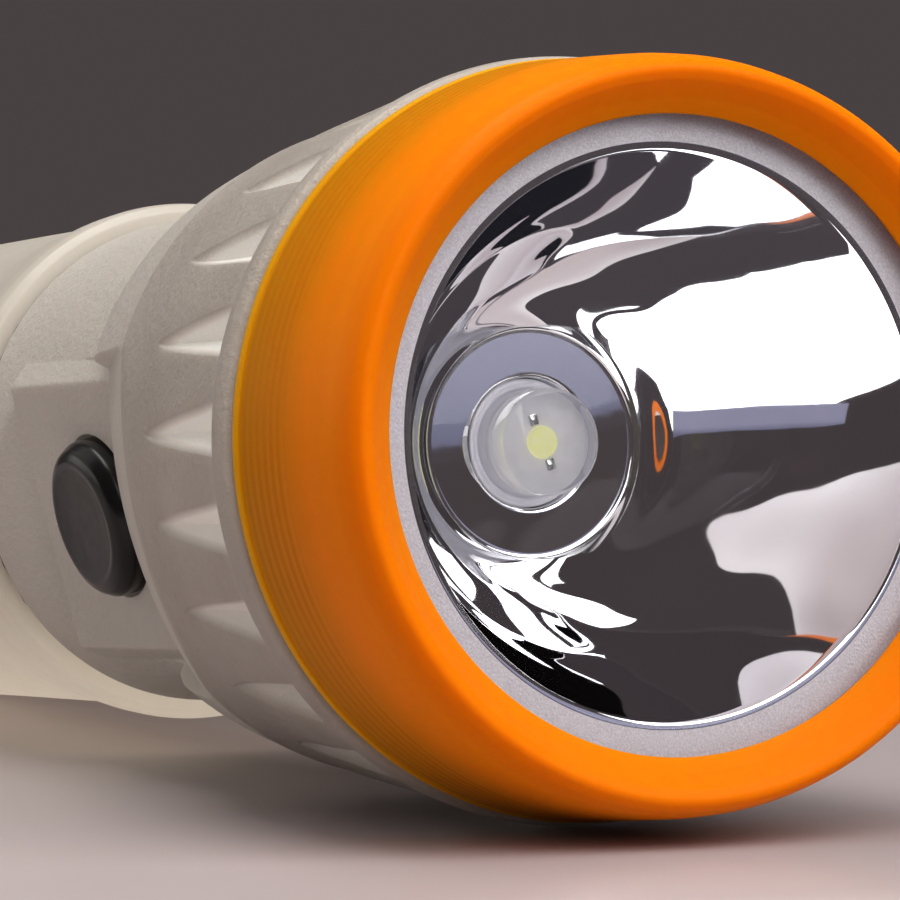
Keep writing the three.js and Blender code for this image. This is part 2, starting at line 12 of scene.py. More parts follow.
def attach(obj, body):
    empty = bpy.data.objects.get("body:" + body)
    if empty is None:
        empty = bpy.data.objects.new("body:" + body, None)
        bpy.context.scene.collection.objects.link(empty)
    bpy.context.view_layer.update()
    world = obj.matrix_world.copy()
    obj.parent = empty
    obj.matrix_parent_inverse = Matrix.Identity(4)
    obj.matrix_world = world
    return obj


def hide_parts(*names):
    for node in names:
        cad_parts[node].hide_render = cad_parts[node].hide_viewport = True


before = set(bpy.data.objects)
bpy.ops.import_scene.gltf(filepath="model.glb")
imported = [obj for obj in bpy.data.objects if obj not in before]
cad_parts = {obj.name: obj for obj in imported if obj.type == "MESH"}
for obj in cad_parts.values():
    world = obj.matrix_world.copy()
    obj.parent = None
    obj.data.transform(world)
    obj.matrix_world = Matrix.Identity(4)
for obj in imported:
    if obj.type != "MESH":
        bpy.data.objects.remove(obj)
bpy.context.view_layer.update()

# ------------------------------------------------------------------ the light's frame
ROT = np.array([
    [0.96592583, 0.0, -0.25881905],
    [0.01464922, 0.99839692, 0.05467162],
    [0.25840414, -0.05660023, 0.96437737],
])
ORG = np.array([0.0, -77.302, 29.176])
AXIS = ROT[:, 1]


def to_row(v):
    return (np.asarray(v, float).reshape(-1, 3) @ ROT.T + ORG) * 0.001


def point(v):
    return Vector(to_row(v)[0])


# ------------------------------------------------------------------ mesh helpers
def raw(name, verts, faces, mat_index=None):
    me = bpy.data.meshes.new(name)
    me.from_pydata([tuple(p) for p in to_row(verts)], [], [tuple(int(i) for i in f) for f in faces])
    if mat_index is not None:
        me.polygons.foreach_set("material_index", np.asarray(mat_index, np.int32))
    bm = bmesh.new()
    bm.from_mesh(me)
    bmesh.ops.remove_doubles(bm, verts=bm.verts, dist=2e-8)
    bmesh.ops.recalc_face_normals(bm, faces=bm.faces)
    bm.to_mesh(me)
    bm.free()
    ob = bpy.data.objects.new(name, me)
    bpy.context.scene.collection.objects.link(ob)
    return ob


def settle(ob, sharp=34.0):
    """Applies the modifiers and sets smooth shading with sharp creases."""
    if ob.modifiers:
        dg = bpy.context.evaluated_depsgraph_get()
        me = bpy.data.meshes.new_from_object(ob.evaluated_get(dg))
        ob.modifiers.clear()
        old = ob.data
        ob.data = me
        bpy.data.meshes.remove(old)
        me.name = ob.name
    me = ob.data
    me.polygons.foreach_set("use_smooth", [True] * len(me.polygons))
    me.set_sharp_from_angle(angle=math.radians(sharp))
    return ob


def cut(ob, *tools, how="DIFFERENCE"):
    for t in tools:
        m = ob.modifiers.new("cut", "BOOLEAN")
        m.operation = how
        m.object = t
        m.solver = "EXACT"
    bpy.context.view_layer.update()
    dg = bpy.context.evaluated_depsgraph_get()
    me = bpy.data.meshes.new_from_object(ob.evaluated_get(dg))
    ob.modifiers.clear()
    old = ob.data
    ob.data = me
    bpy.data.meshes.remove(old)
    me.name = ob.name
    for t in tools:
        d = t.data
        bpy.data.objects.remove(t)
        bpy.data.meshes.remove(d)
    bm = bmesh.new()
    bm.from_mesh(me)
    bmesh.ops.remove_doubles(bm, verts=bm.verts, dist=2e-7)
    bmesh.ops.dissolve_degenerate(bm, edges=bm.edges, dist=2e-7)
    bm.to_mesh(me)
    bm.free()
    return ob


def finish_piece(ob, mats, body, nodes, sharp=34.0):
    settle(ob, sharp)
    index = np.zeros(len(ob.data.polygons), np.int32)
    ob.data.polygons.foreach_get("material_index", index)
    ob.data.materials.clear()
    for m in mats:
        ob.data.materials.append(m)
    ob.data.polygons.foreach_set("material_index", np.clip(index, 0, len(mats) - 1))
    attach(ob, body)
    if nodes:
        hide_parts(*nodes)
    return ob


def fillet(points, steps=5):
    """A polyline of (r, y) or (r, y, radius) corners, with arcs at the corners that have a radius."""
    pts = [(p[0], p[1], p[2] if len(p) > 2 else 0.0) for p in points]
    out = []
    for i, (x, y, rad) in enumerate(pts):
        if rad <= 0 or i in (0, len(pts) - 1):
            out.append((x, y))
            continue
        a, c = np.array(pts[i - 1][:2]), np.array(pts[i + 1][:2])
        b = np.array([x, y])
        u, v = a - b, c - b
        lu, lv = np.linalg.norm(u), np.linalg.norm(v)
        u, v = u / lu, v / lv
        ang = math.acos(max(-1, min(1, float(u @ v))))
        if ang > math.pi - 0.02:
            out.append((x, y))
            continue
        t = rad / math.tan(ang / 2)
        k = min(1.0, 0.49 * min(lu, lv) / t)
        t, rad2 = t * k, rad * k
        p0, p1 = b + u * t, b + v * t
        mid = (u + v) / np.linalg.norm(u + v)
        cen = b + mid * (rad2 / math.sin(ang / 2))
        a0 = math.atan2(*(p0 - cen)[::-1])
        a1 = math.atan2(*(p1 - cen)[::-1])
        d = (a1 - a0 + math.pi) % (2 * math.pi) - math.pi
        n = max(2, int(steps * abs(d) / (math.pi / 2)) + 1)
        for j in range(n + 1):
            w = a0 + d * j / n
            out.append((cen[0] + rad2 * math.cos(w), cen[1] + rad2 * math.sin(w)))
    return out


def spin(profile, seg=192, closed=False, centre=(0, 0, 0), basis=None, wobble=None):
    """Turned mesh. profile is (r, t) pairs; t runs along basis[2]. Returns verts, faces."""
    e1, e2, e3 = basis if basis is not None else (np.array([0, 0, 1.0]), np.array([1.0, 0, 0]), np.array([0, 1.0, 0]))
    c = np.array(centre, float)
    verts, rings = [], []
    ang = 2 * math.pi * np.arange(seg) / seg
    ca, sa = np.cos(ang), np.sin(ang)
    for r, t in profile:
        if r < 1e-6:
            rings.append([len(verts)])
            verts.append(c + e3 * t)
        else:
            rr = np.full(seg, r)
            if wobble is not None:
                rr = wobble(r, t, ang)
            base = len(verts)
            rings.append(list(range(base, base + seg)))
            for i in range(seg):
                verts.append(c + e1 * (rr[i] * ca[i]) + e2 * (rr[i] * sa[i]) + e3 * t)
    faces, of = [], []
    pairs = list(zip(range(len(rings) - 1), range(1, len(rings))))
    if closed:
        pairs.append((len(rings) - 1, 0))
    for a, b in pairs:
        A, B = rings[a], rings[b]
        if len(A) == 1 and len(B) == 1:
            continue
        for i in range(seg):
            j = (i + 1) % seg
            if len(A) == 1:
                faces.append((A[0], B[i], B[j]))
            elif len(B) == 1:
                faces.append((A[i], B[0], A[j]))
            else:
                faces.append((A[i], B[i], B[j], A[j]))
            of.append(a)
    return np.array(verts), faces, np.array(of)


EX, EY, EZ = np.eye(3)
ALONG_X = (EY, EZ, EX)
ALONG_Y = (EZ, EX, EY)
ALONG_Z = (EX, EY, EZ)


def turned(name, profile, seg=192, closed=False, centre=(0, 0, 0), basis=ALONG_Y, wobble=None, mat_of=None):
    v, f, of = spin(profile, seg, closed, centre, basis, wobble)
    idx = None
    if mat_of is not None:
        rows = [mat_of(i, profile) for i in range(len(profile))]
        idx = [rows[i] for i in of]
    return raw(name, v, f, idx)


def prism(name, outline, levels, basis=ALONG_X, centre=(0, 0, 0)):
    """Stacked outlines. outline is a list of (u, v); levels is (t, offset) with the offset inwards."""
    e1, e2, e3 = basis
    c = np.array(centre, float)
    P = np.array(outline, float)
    n = len(P)
    nxt, prv = np.roll(P, -1, 0), np.roll(P, 1, 0)
    tang = nxt - prv
    tang /= np.linalg.norm(tang, axis=1)[:, None]
    area = 0.5 * np.sum(P[:, 0] * nxt[:, 1] - nxt[:, 0] * P[:, 1])
    inward = np.stack([-tang[:, 1], tang[:, 0]], 1) * (1 if area > 0 else -1)
    verts, faces = [], []
    for t, off in levels:
        Q = P + inward * off
        verts += [c + e1 * q[0] + e2 * q[1] + e3 * t for q in Q]
    for k in range(len(levels) - 1):
        for i in range(n):
            j = (i + 1) % n
            faces.append((k * n + i, k * n + j, (k + 1) * n + j, (k + 1) * n + i))
    faces.append(tuple(range(n))[::-1])
    faces.append(tuple(range((len(levels) - 1) * n, len(levels) * n)))
    return raw(name, verts, faces)


def rounded_rect(u0, u1, v0, v1, rad, steps=8):
    out = []
    for cx, cy, a0 in ((u1 - rad, v1 - rad, 0), (u0 + rad, v1 - rad, 90), (u0 + rad, v0 + rad, 180), (u1 - rad, v0 + rad, 270)):
        for i in range(steps + 1):
            a = math.radians(a0 + 90 * i / steps)
            out.append((cx + rad * math.cos(a), cy + rad * math.sin(a)))
    return out


def circle(cu, cv, r, n=48):
    return [(cu + r * math.cos(2 * math.pi * i / n), cv + r * math.sin(2 * math.pi * i / n)) for i in range(n)]


def hermite(xs, ys):
    """Smooth curve through points, monotone between them."""
    xs, ys = np.array(xs, float), np.array(ys, float)
    d = np.diff(ys) / np.diff(xs)
    m = np.concatenate([[d[0]], np.where(d[:-1] * d[1:] > 0, 2 * d[:-1] * d[1:] / np.where(d[:-1] + d[1:] == 0, 1, d[:-1] + d[1:]), 0), [d[-1]]])

    def f(x):
        x = np.asarray(x, float)
        i = np.clip(np.searchsorted(xs, x) - 1, 0, len(xs) - 2)
        h = xs[i + 1] - xs[i]
        t = np.clip((x - xs[i]) / h, 0, 1)
        return ((2 * t**3 - 3 * t**2 + 1) * ys[i] + (t**3 - 2 * t**2 + t) * h * m[i]
                + (-2 * t**3 + 3 * t**2) * ys[i + 1] + (t**3 - t**2) * h * m[i + 1])

    return f


def soft_min(a, b, k):
    h = np.clip(0.5 + 0.5 * (b - a) / k, 0, 1)
    return b * (1 - h) + a * h - k * h * (1 - h)


def soft_max(a, b, k):
    return -soft_min(-a, -b, k)


def step(x, a, b):
    t = np.clip((x - a) / (b - a), 0, 1)
    return t * t * (3 - 2 * t)


# ------------------------------------------------------------------ materials
class Nodes:
    """Short forms for building a node tree."""

    def __init__(self, name):
        self.mat = bpy.data.materials.new(name)
        self.mat.use_nodes = True
        self.nt = self.mat.node_tree
        self.bsdf = self.nt.nodes["Principled BSDF"]
        self.obj = self.nt.nodes.new("ShaderNodeTexCoord").outputs["Object"]

    def set(self, **kw):
        for k, v in kw.items():
            self.bsdf.inputs[k.replace("_", " ")].default_value = v
        return self

    def node(self, kind, **kw):
        n = self.nt.nodes.new(kind)
        for k, v in kw.items():
            setattr(n, k, v)
        return n

    def link(self, a, b):
        self.nt.links.new(a, b)

    def noise(self, scale, detail=3.0, rough=0.5, vec=None, distortion=0.0):
        n = self.node("ShaderNodeTexNoise")
        n.inputs["Scale"].default_value = scale
        n.inputs["Detail"].default_value = detail
        n.inputs["Roughness"].default_value = rough
        n.inputs["Distortion"].default_value = distortion
        self.link(vec or self.obj, n.inputs["Vector"])
        return n.outputs["Fac"]

    def voronoi(self, scale, vec=None, out="Distance", feature="F1"):
        n = self.node("ShaderNodeTexVoronoi", feature=feature)
        n.inputs["Scale"].default_value = scale
        self.link(vec or self.obj, n.inputs["Vector"])
        return n.outputs[out]

    def math(self, op, a, b=None, clamp=False):
        n = self.node("ShaderNodeMath", operation=op, use_clamp=clamp)
        for i, x in enumerate((a, b)):
            if x is None:
                continue
            if isinstance(x, (int, float)):
                n.inputs[i].default_value = x
            else:
                self.link(x, n.inputs[i])
        return n.outputs[0]

    def ramp(self, fac, stops, interp="LINEAR"):
        n = self.node("ShaderNodeValToRGB")
        n.color_ramp.interpolation = interp
        el = n.color_ramp.elements
        while len(el) < len(stops):
            el.new(0.5)
        for e, (p, c) in zip(el, stops):
            e.position = p
            e.color = (*c, 1) if len(c) == 3 else c
        self.link(fac, n.inputs["Fac"])
        return n.outputs["Color"]

    def mix(self, fac, a, b, blend="MIX"):
        n = self.node("ShaderNodeMix", data_type="RGBA", blend_type=blend)
        for key, x in (("Factor", fac),):
            if isinstance(x, (int, float)):
                n.inputs[0].default_value = x
            else:
                self.link(x, n.inputs[0])
        for i, x in ((6, a), (7, b)):
            if isinstance(x, (tuple, list)):
                n.inputs[i].default_value = (*x, 1)
            else:
                self.link(x, n.inputs[i])
        return n.outputs[2]

    def span(self, fac, lo, hi):
        n = self.node("ShaderNodeMapRange")
        n.inputs["To Min"].default_value = lo
        n.inputs["To Max"].default_value = hi
        self.link(fac, n.inputs["Value"])
        return n.outputs[0]

    def bump(self, height, strength, distance, normal=None):
        n = self.node("ShaderNodeBump")
        n.inputs["Strength"].default_value = strength
        n.inputs["Distance"].default_value = distance
        self.link(height, n.inputs["Height"])
        if normal is not None:
            self.link(normal, n.inputs["Normal"])
        return n.outputs["Normal"]

    def along(self):
        """Millimetres along the light's axis, from the lens opening."""
        s = self.node("ShaderNodeVectorMath", operation="SUBTRACT")
        self.link(self.obj, s.inputs[0])
        s.inputs[1].default_value = tuple(ORG * 0.001)
        d = self.node("ShaderNodeVectorMath", operation="DOT_PRODUCT")
        self.link(s.outputs[0], d.inputs[0])
        d.inputs[1].default_value = tuple(AXIS * 1000.0)
        return d.outputs["Value"]

    def across(self):
        """Millimetres from the light's axis."""
        s = self.node("ShaderNodeVectorMath", operation="SUBTRACT")
        self.link(self.obj, s.inputs[0])
        s.inputs[1].default_value = tuple(ORG * 0.001)
        c = self.node("ShaderNodeVectorMath", operation="CROSS_PRODUCT")
        self.link(s.outputs[0], c.inputs[0])
        c.inputs[1].default_value = tuple(AXIS * 1000.0)
        n = self.node("ShaderNodeVectorMath", operation="LENGTH")
        self.link(c.outputs[0], n.inputs[0])
        return n.outputs["Value"]

    def to(self, socket, out):
        self.link(out, self.bsdf.inputs[socket])
        return self


def orange_plastic():
    m = Nodes("orange_plastic")
    s = m.along()
    t = m.math("DIVIDE", m.math("ADD", s, 5.0), 20.0, clamp=True)
    # Colour along the axis carries painted light: a painted highlight over the rounded front edge and painted shade
    # along the side band; the rear rim is paler.
    col = m.ramp(t, [
        (0.0, (0.84, 0.172, 0.001)), (0.12, (0.88, 0.182, 0.001)), (0.20, (0.98, 0.215, 0.001)), (0.36, (0.96, 0.212, 0.001)),
        (0.50, (0.76, 0.20, 0.001)), (0.70, (0.64, 0.195, 0.001)), (0.87, (0.56, 0.20, 0.001)), (0.895, (0.78, 0.34, 0.004)), (1.0, (0.84, 0.40, 0.006))])
    cloud = m.noise(120, 4, 0.6)
    col = m.mix(m.span(cloud, 0.0, 0.18), col, (0.90, 0.27, 0.001))
    # fine turned lines on the rear half of the side band
    line = m.math("ADD", m.math("MULTIPLY", m.math("SINE", m.math("MULTIPLY", s, 5.98)), 0.5), 0.5)
    window = m.math("MULTIPLY", m.math("MULTIPLY", m.math("SUBTRACT", s, 5.2), 0.7, clamp=True), m.math("LESS_THAN", s, 12.2))
    broken = m.span(m.noise(70, 3, 0.6), 0.10, 0.60)
    col = m.mix(m.math("MULTIPLY", m.math("MULTIPLY", line, window), broken), col, (0.36, 0.125, 0.001))
    fleck = m.noise(900, 2, 0.5)
    col = m.mix(m.span(fleck, 0.0, 0.10), col, (0.45, 0.11, 0.0))
    m.to("Base Color", col)
    m.to("Roughness", m.span(m.noise(300, 4, 0.6), 0.30, 0.46))
    fine = m.noise(5200, 3, 0.6)
    m.to("Normal", m.bump(fine, 0.25, 0.00003))
    m.set(Subsurface_Weight=0.4, Subsurface_Radius=(1.0, 0.25, 0.02), Subsurface_Scale=0.003, IOR=1.45, Specular_IOR_Level=0.035)
    return m.mat


def knob_plastic():
    m = Nodes("knob_orange")
    cloud = m.noise(160, 4, 0.6)
    m.to("Base Color", m.ramp(cloud, [(0.3, (0.72, 0.17, 0.003)), (0.7, (0.86, 0.24, 0.006))]))
    m.to("Roughness", m.span(m.noise(500, 4, 0.6), 0.28, 0.46))
    m.to("Normal", m.bump(m.noise(4200, 3, 0.6), 0.3, 0.00003))
    m.set(Subsurface_Weight=0.3, Subsurface_Radius=(1.0, 0.26, 0.03), Subsurface_Scale=0.002, IOR=1.5)
    return m.mat


def frosted_plastic():
    m = Nodes("frosted_plastic")
    cloud = m.noise(55, 4, 0.55)
    col = m.ramp(cloud, [(0.30, (0.43, 0.375, 0.325)), (0.52, (0.50, 0.44, 0.385)), (0.74, (0.58, 0.52, 0.46))])
    grain = m.noise(2600, 3, 0.65)
    col = m.mix(m.span(grain, 0.0, 0.26), col, (0.52, 0.465, 0.41))
    pits = m.ramp(m.noise(1300, 3, 0.6), [(0.60, (0.0, 0.0, 0.0)), (0.72, (1.0, 1.0, 1.0))])
    col = m.mix(m.math("MULTIPLY", pits, 0.34), col, (0.34, 0.30, 0.26))
    s = m.along()
    # Painted light: behind the crease at 42.2 mm the head is lighter and given a faint painted glow.
    band = m.math("MULTIPLY", m.math("SUBTRACT", s, 42.2), 3.0, clamp=True)
    col = m.mix(m.math("MULTIPLY", band, 0.45), col, (0.74, 0.69, 0.62))
    # Painted light: the notches are lightened towards their bottoms, most on the upper side of the head, and given a
    # faint painted glow, standing in for light passing through the wall where it is slimmer.
    depth = m.math("SUBTRACT", m.math("SUBTRACT", 29.72, m.math("MULTIPLY", s, 0.1045)), m.across())
    front = m.math("LESS_THAN", s, 34.0)
    behind = m.math("GREATER_THAN", s, 17.45)
    notch_painted_light = m.math("MULTIPLY", m.math("MULTIPLY", m.math("MULTIPLY", depth, 1.6), front, clamp=True), behind, clamp=True)
    z = m.node("ShaderNodeSeparateXYZ")
    m.link(m.obj, z.inputs[0])
    painted_top_light = m.math("MULTIPLY", m.math("SUBTRACT", z.outputs["Z"], 0.003), 42.0, clamp=True)
    notch_painted_light = m.math("MULTIPLY", notch_painted_light, m.math("ADD", m.math("MULTIPLY", painted_top_light, 0.85), 0.15))
    col = m.mix(notch_painted_light, col, (0.97, 0.925, 0.86))
    # Painted glow in the notches and, more faintly, behind the crease at 42.2 mm.
    m.to("Emission Strength", m.math("ADD", m.math("MULTIPLY", notch_painted_light, 0.12), m.math("MULTIPLY", band, 0.025)))
    m.set(Emission_Color=(1.0, 0.93, 0.84, 1.0))
    m.to("Base Color", col)
    m.to("Roughness", m.span(m.noise(700, 4, 0.6), 0.36, 0.56))
    g1 = m.noise(3300, 4, 0.7)
    g2 = m.noise(1300, 3, 0.6)
    n = m.bump(g1, 0.85, 0.00012)
    m.to("Normal", m.bump(g2, 0.75, 0.00028, n))
    m.set(Subsurface_Weight=0.5, Subsurface_Radius=(1.0, 0.86, 0.72), Subsurface_Scale=0.0016, IOR=1.46, Transmission_Weight=0.18)
    return m.mat


def cream_plastic():
    m = Nodes("cream_plastic")
    cloud = m.noise(45, 4, 0.55)
    m.to("Base Color", m.ramp(cloud, [(0.3, (0.64, 0.585, 0.51)), (0.7, (0.72, 0.67, 0.60))]))
    m.to("Roughness", m.span(m.noise(400, 4, 0.6), 0.34, 0.5))
    m.to("Normal", m.bump(m.noise(2400, 4, 0.65), 0.3, 0.00005))
    m.set(Subsurface_Weight=0.45, Subsurface_Radius=(1.0, 0.8, 0.6), Subsurface_Scale=0.004, IOR=1.46, Transmission_Weight=0.4)
    # Painted glow, strongest on the underside and faint all over, standing in for light that passes through the slim
    # translucent wall.
    z = m.node("ShaderNodeSeparateXYZ")
    m.link(m.obj, z.inputs[0])
    underside_painted_glow = m.math("MULTIPLY", m.math("SUBTRACT", 0.0150, z.outputs["Z"]), 70.0, clamp=True)
    m.to("Emission Strength", m.math("ADD", m.math("MULTIPLY", underside_painted_glow, 0.26), 0.06))
    m.set(Emission_Color=(1.0, 0.89, 0.74, 1.0))
    return m.mat


def clear_plastic(name, rough=0.0, ior=1.49, tint=(0.985, 0.985, 0.99)):
    m = Nodes(name)
    m.to("Base Color", m.ramp(m.noise(40, 2, 0.5), [(0.3, tint), (0.7, (1.0, 1.0, 1.0))]))
    m.to("Roughness", m.span(m.noise(700, 3, 0.5), rough, rough + 0.004))
    m.set(Transmission_Weight=1.0, IOR=ior)
    return m.mat


def black_gloss():
    m = Nodes("black_gloss")
    m.to("Base Color", m.ramp(m.noise(600, 3, 0.6), [(0.3, (0.004, 0.0037, 0.0037)), (0.7, (0.009, 0.0085, 0.0085))]))
    m.to("Roughness", m.span(m.noise(900, 4, 0.6), 0.20, 0.30))
    m.to("Normal", m.bump(m.noise(3800, 3, 0.6), 0.12, 0.00003))
    m.set(IOR=1.5, Specular_IOR_Level=0.35)
    return m.mat


def black_matte():
    m = Nodes("black_dish")
    m.to("Base Color", m.ramp(m.noise(700, 4, 0.6), [(0.3, (0.024, 0.022, 0.021)), (0.7, (0.044, 0.041, 0.039))]))
    m.to("Roughness", m.span(m.noise(900, 4, 0.6), 0.38, 0.52))
    m.to("Normal", m.bump(m.noise(4200, 4, 0.7), 0.4, 0.00004))
    m.set(IOR=1.5, Specular_IOR_Level=0.35)
    return m.mat


def rubber(name, lo, hi):
    m = Nodes(name)
    m.to("Base Color", m.ramp(m.noise(500, 3, 0.6), [(0.3, lo), (0.7, hi)]))
    m.to("Roughness", m.span(m.noise(900, 4, 0.6), 0.5, 0.7))
    m.to("Normal", m.bump(m.noise(2600, 3, 0.6), 0.3, 0.00004))
    return m.mat


def chrome(name="bright_bowl"):
    m = Nodes(name)
    m.to("Base Color", m.ramp(m.noise(60, 3, 0.5), [(0.3, (0.86, 0.86, 0.89)), (0.7, (0.90, 0.90, 0.92))]))
    m.to("Roughness", m.span(m.noise(260, 3, 0.5), 0.012, 0.035))
    m.to("Normal", m.bump(m.noise(230, 2, 0.4), 0.06, 0.00005))
    m.set(Metallic=1.0)
    return m.mat


def sparkle():
    m = Nodes("grained_rim")
    v = m.voronoi(5200)
    g = m.noise(6000, 4, 0.7)
    m.to("Base Color", m.ramp(g, [(0.25, (0.60, 0.56, 0.61)), (0.5, (0.76, 0.72, 0.77)), (0.75, (0.95, 0.93, 0.97))]))
    m.to("Roughness", m.span(m.noise(1800, 3, 0.6), 0.34, 0.52))
    n = m.bump(v, 0.35, 0.00006)
    m.to("Normal", m.bump(g, 0.35, 0.00004, n))
    m.set(Metallic=0.25)
    return m.mat


def metal(name, lo, hi, rough=(0.22, 0.36), brushed=None):
    m = Nodes(name)
    m.to("Base Color", m.ramp(m.noise(260, 4, 0.6), [(0.3, lo), (0.7, hi)]))
    m.to("Roughness", m.span(m.noise(700, 4, 0.6), *rough))
    m.to("Normal", m.bump(m.noise(3000, 3, 0.6), 0.15, 0.00002))
    m.set(Metallic=1.0)
    return m.mat


def plain_plastic(name, lo, hi, rough=(0.38, 0.55), scale=140, bump=0.25):
    m = Nodes(name)
    m.to("Base Color", m.ramp(m.noise(scale, 4, 0.6), [(0.3, lo), (0.7, hi)]))
    m.to("Roughness", m.span(m.noise(500, 4, 0.6), *rough))
    m.to("Normal", m.bump(m.noise(2600, 4, 0.6), bump, 0.00004))
    return m.mat


def phosphor():
    m = Nodes("phosphor")
    m.to("Base Color", m.ramp(m.noise(1500, 4, 0.6), [(0.3, (0.88, 0.88, 0.36)), (0.7, (0.96, 0.96, 0.56))]))
    m.to("Roughness", m.span(m.noise(900, 3, 0.5), 0.5, 0.7))
    m.to("Normal", m.bump(m.noise(5000, 3, 0.6), 0.3, 0.00002))
    # Painted glow: the phosphor gives off a faint yellow light of its own.
    m.set(Emission_Color=(0.95, 0.95, 0.45, 1.0), Emission_Strength=0.34)
    return m.mat


def board():
    m = Nodes("board_green")
    m.to("Base Color", m.ramp(m.noise(300, 4, 0.6), [(0.3, (0.02, 0.10, 0.045)), (0.7, (0.035, 0.16, 0.07))]))
    m.to("Roughness", m.span(m.noise(500, 4, 0.6), 0.3, 0.45))
    m.to("Normal", m.bump(m.voronoi(900), 0.15, 0.00004))
    return m.mat


ORANGE, KNOB_ORANGE = orange_plastic(), knob_plastic()
FROST, CREAM = frosted_plastic(), cream_plastic()
GLASS = clear_plastic("clear_lens", 0.0, 1.3)
EPOXY = clear_plastic("clear_lamp", 0.01, 1.5, (0.97, 0.97, 0.985))
BLACK, DISH = black_gloss(), black_matte()
RUBBER = rubber("black_rubber", (0.012, 0.012, 0.013), (0.03, 0.03, 0.032))
CHROME, SPARKLE = chrome(), sparkle()
STEEL = metal("steel", (0.52, 0.53, 0.55), (0.66, 0.67, 0.69))
ALLOY = metal("aluminium", (0.60, 0.61, 0.63), (0.74, 0.75, 0.77), (0.28, 0.42))
BRASS = metal("brass", (0.62, 0.42, 0.14), (0.74, 0.52, 0.2))
COPPER = metal("copper_wire", (0.50, 0.22, 0.09), (0.62, 0.30, 0.13))
NICKEL = metal("cell_can", (0.58, 0.59, 0.60), (0.68, 0.69, 0.70), (0.18, 0.3))
WHITE = plain_plastic("white_plastic", (0.66, 0.64, 0.60), (0.76, 0.74, 0.70))
MAGNET = plain_plastic("magnet", (0.03, 0.028, 0.027), (0.06, 0.056, 0.053))
PHOSPHOR, BOARD = phosphor(), board()
RED = plain_plastic("red_wire", (0.36, 0.02, 0.015), (0.5, 0.04, 0.03))
YELLOW = plain_plastic("yellow_sleeve", (0.55, 0.33, 0.03), (0.68, 0.43, 0.05))
LAMP_BASE = plain_plastic("lamp_base", (0.86, 0.84, 0.90), (0.95, 0.93, 0.98), (0.25, 0.4), 900, 0.2)
# Painted glow: the lamp base plastic gives off a faint lavender light.
lamp_socket = LAMP_BASE.node_tree.nodes["Principled BSDF"].inputs
lamp_socket["Emission Color"].default_value, lamp_socket["Emission Strength"].default_value = (0.92, 0.90, 1.0, 1.0), 0.10

# ------------------------------------------------------------------ bezel
rim = [
    (22.9, -1.45), (22.9, -1.68, 0.08), (24.0, -2.6, 1.0), (25.15, -3.8, 1.0), (26.0, -4.28, 0.9),
    (26.72, -3.5, 1.6), (27.12, -1.9, 2.5), (27.36, 0.4, 3.0), (27.5, 3.0, 2.0), (27.62, 5.6)]
# fine turned rings on the rear half of the side band
for i in range(61):
    y = 5.7 + 6.3 * i / 60
    k = 0.5 - 0.5 * math.cos(2 * math.pi * (y - 5.7) / 1.05)
    rim.append((27.62 + (y - 5.6) * 0.042 - 0.030 * k, y))
rim += [(27.90, 12.15), (27.90, 12.35, 0.06), (27.72, 12.5, 0.08), (27.74, 12.66, 0.08), (27.98, 12.8, 0.12),
        (28.02, 13.3), (27.95, 13.75, 0.2), (25.9, 13.78), (25.9, -1.45)]
bezel = turned("bezel", fillet(rim, 7), 288, closed=True)
finish_piece(bezel, [ORANGE], "root", ["bezel_ring"])

# ------------------------------------------------------------------ lens
lens = turned("lens", fillet([(0, -1.15), (24.8, -1.15), (24.9, -1.15), (25.2, -1.15, 0.12), (25.35, -1.0, 0.1), (25.35, -0.25, 0.1), (25.2, -0.1, 0.12), (24.9, -0.1), (24.8, -0.1), (0, -0.1)], 4), 192)
finish_piece(lens, [GLASS], "root", ["front_lens"])

# ------------------------------------------------------------------ reflector
# slope of the bright surface against the radius, found from where the photo shows the bezel mirrored
BOWL_R = np.linspace(8.65, 20.45, 72)
BOWL_G = np.interp(BOWL_R, [8.65, 9.6, 10.8, 12.2, 14.0, 16.0, 18.0, 20.5], [1.053, 0.862, 0.912, 1.279, 1.497, 2.057, 2.841, 2.939])
BOWL_G = np.convolve(np.pad(BOWL_G, 5, mode="edge"), np.ones(11) / 11.0, mode="valid")
BOWL_Y = 21.84 - np.concatenate([[0.0], np.cumsum(0.5 * (BOWL_G[1:] + BOWL_G[:-1]) * np.diff(BOWL_R))])
BOWL_Y = 21.84 - (21.84 - BOWL_Y) * (21.84 - 0.34) / (21.84 - BOWL_Y[-1])

bowl = [(4.9, 23.0), (4.9, 22.15), (4.94, 22.03), (5.05, 21.97), (5.25, 21.95), (5.28, 21.95), (5.4, 21.95), (8.1, 21.95), (8.2, 21.95), (8.24, 21.95), (8.45, 21.935), (8.57, 21.9)]
bowl += [(float(r), float(y)) for r, y in zip(BOWL_R, BOWL_Y)]
bowl += [(20.5, 0.26), (20.7, 0.22), (21.0, 0.2), (25.3, 0.2), (25.38, 0.28), (25.38, 3.32), (25.3, 3.4), (24.3, 3.4), (24.2, 3.3), (24.2, 1.3)]
bowl += [(21.9, 1.3), (18.9, 8.6), (14.6, 17.4), (9.9, 23.1), (5.0, 23.1)]
n_annulus = [i for i, p in enumerate(bowl) if p == (21.0, 0.2)][0]
reflector = turned("reflector_bowl", bowl, 256, closed=True,
                   mat_of=lambda i, p: 1 if n_annulus <= i <= n_annulus + 2 else 0)
finish_piece(reflector, [CHROME, SPARKLE], "root", ["reflector"])

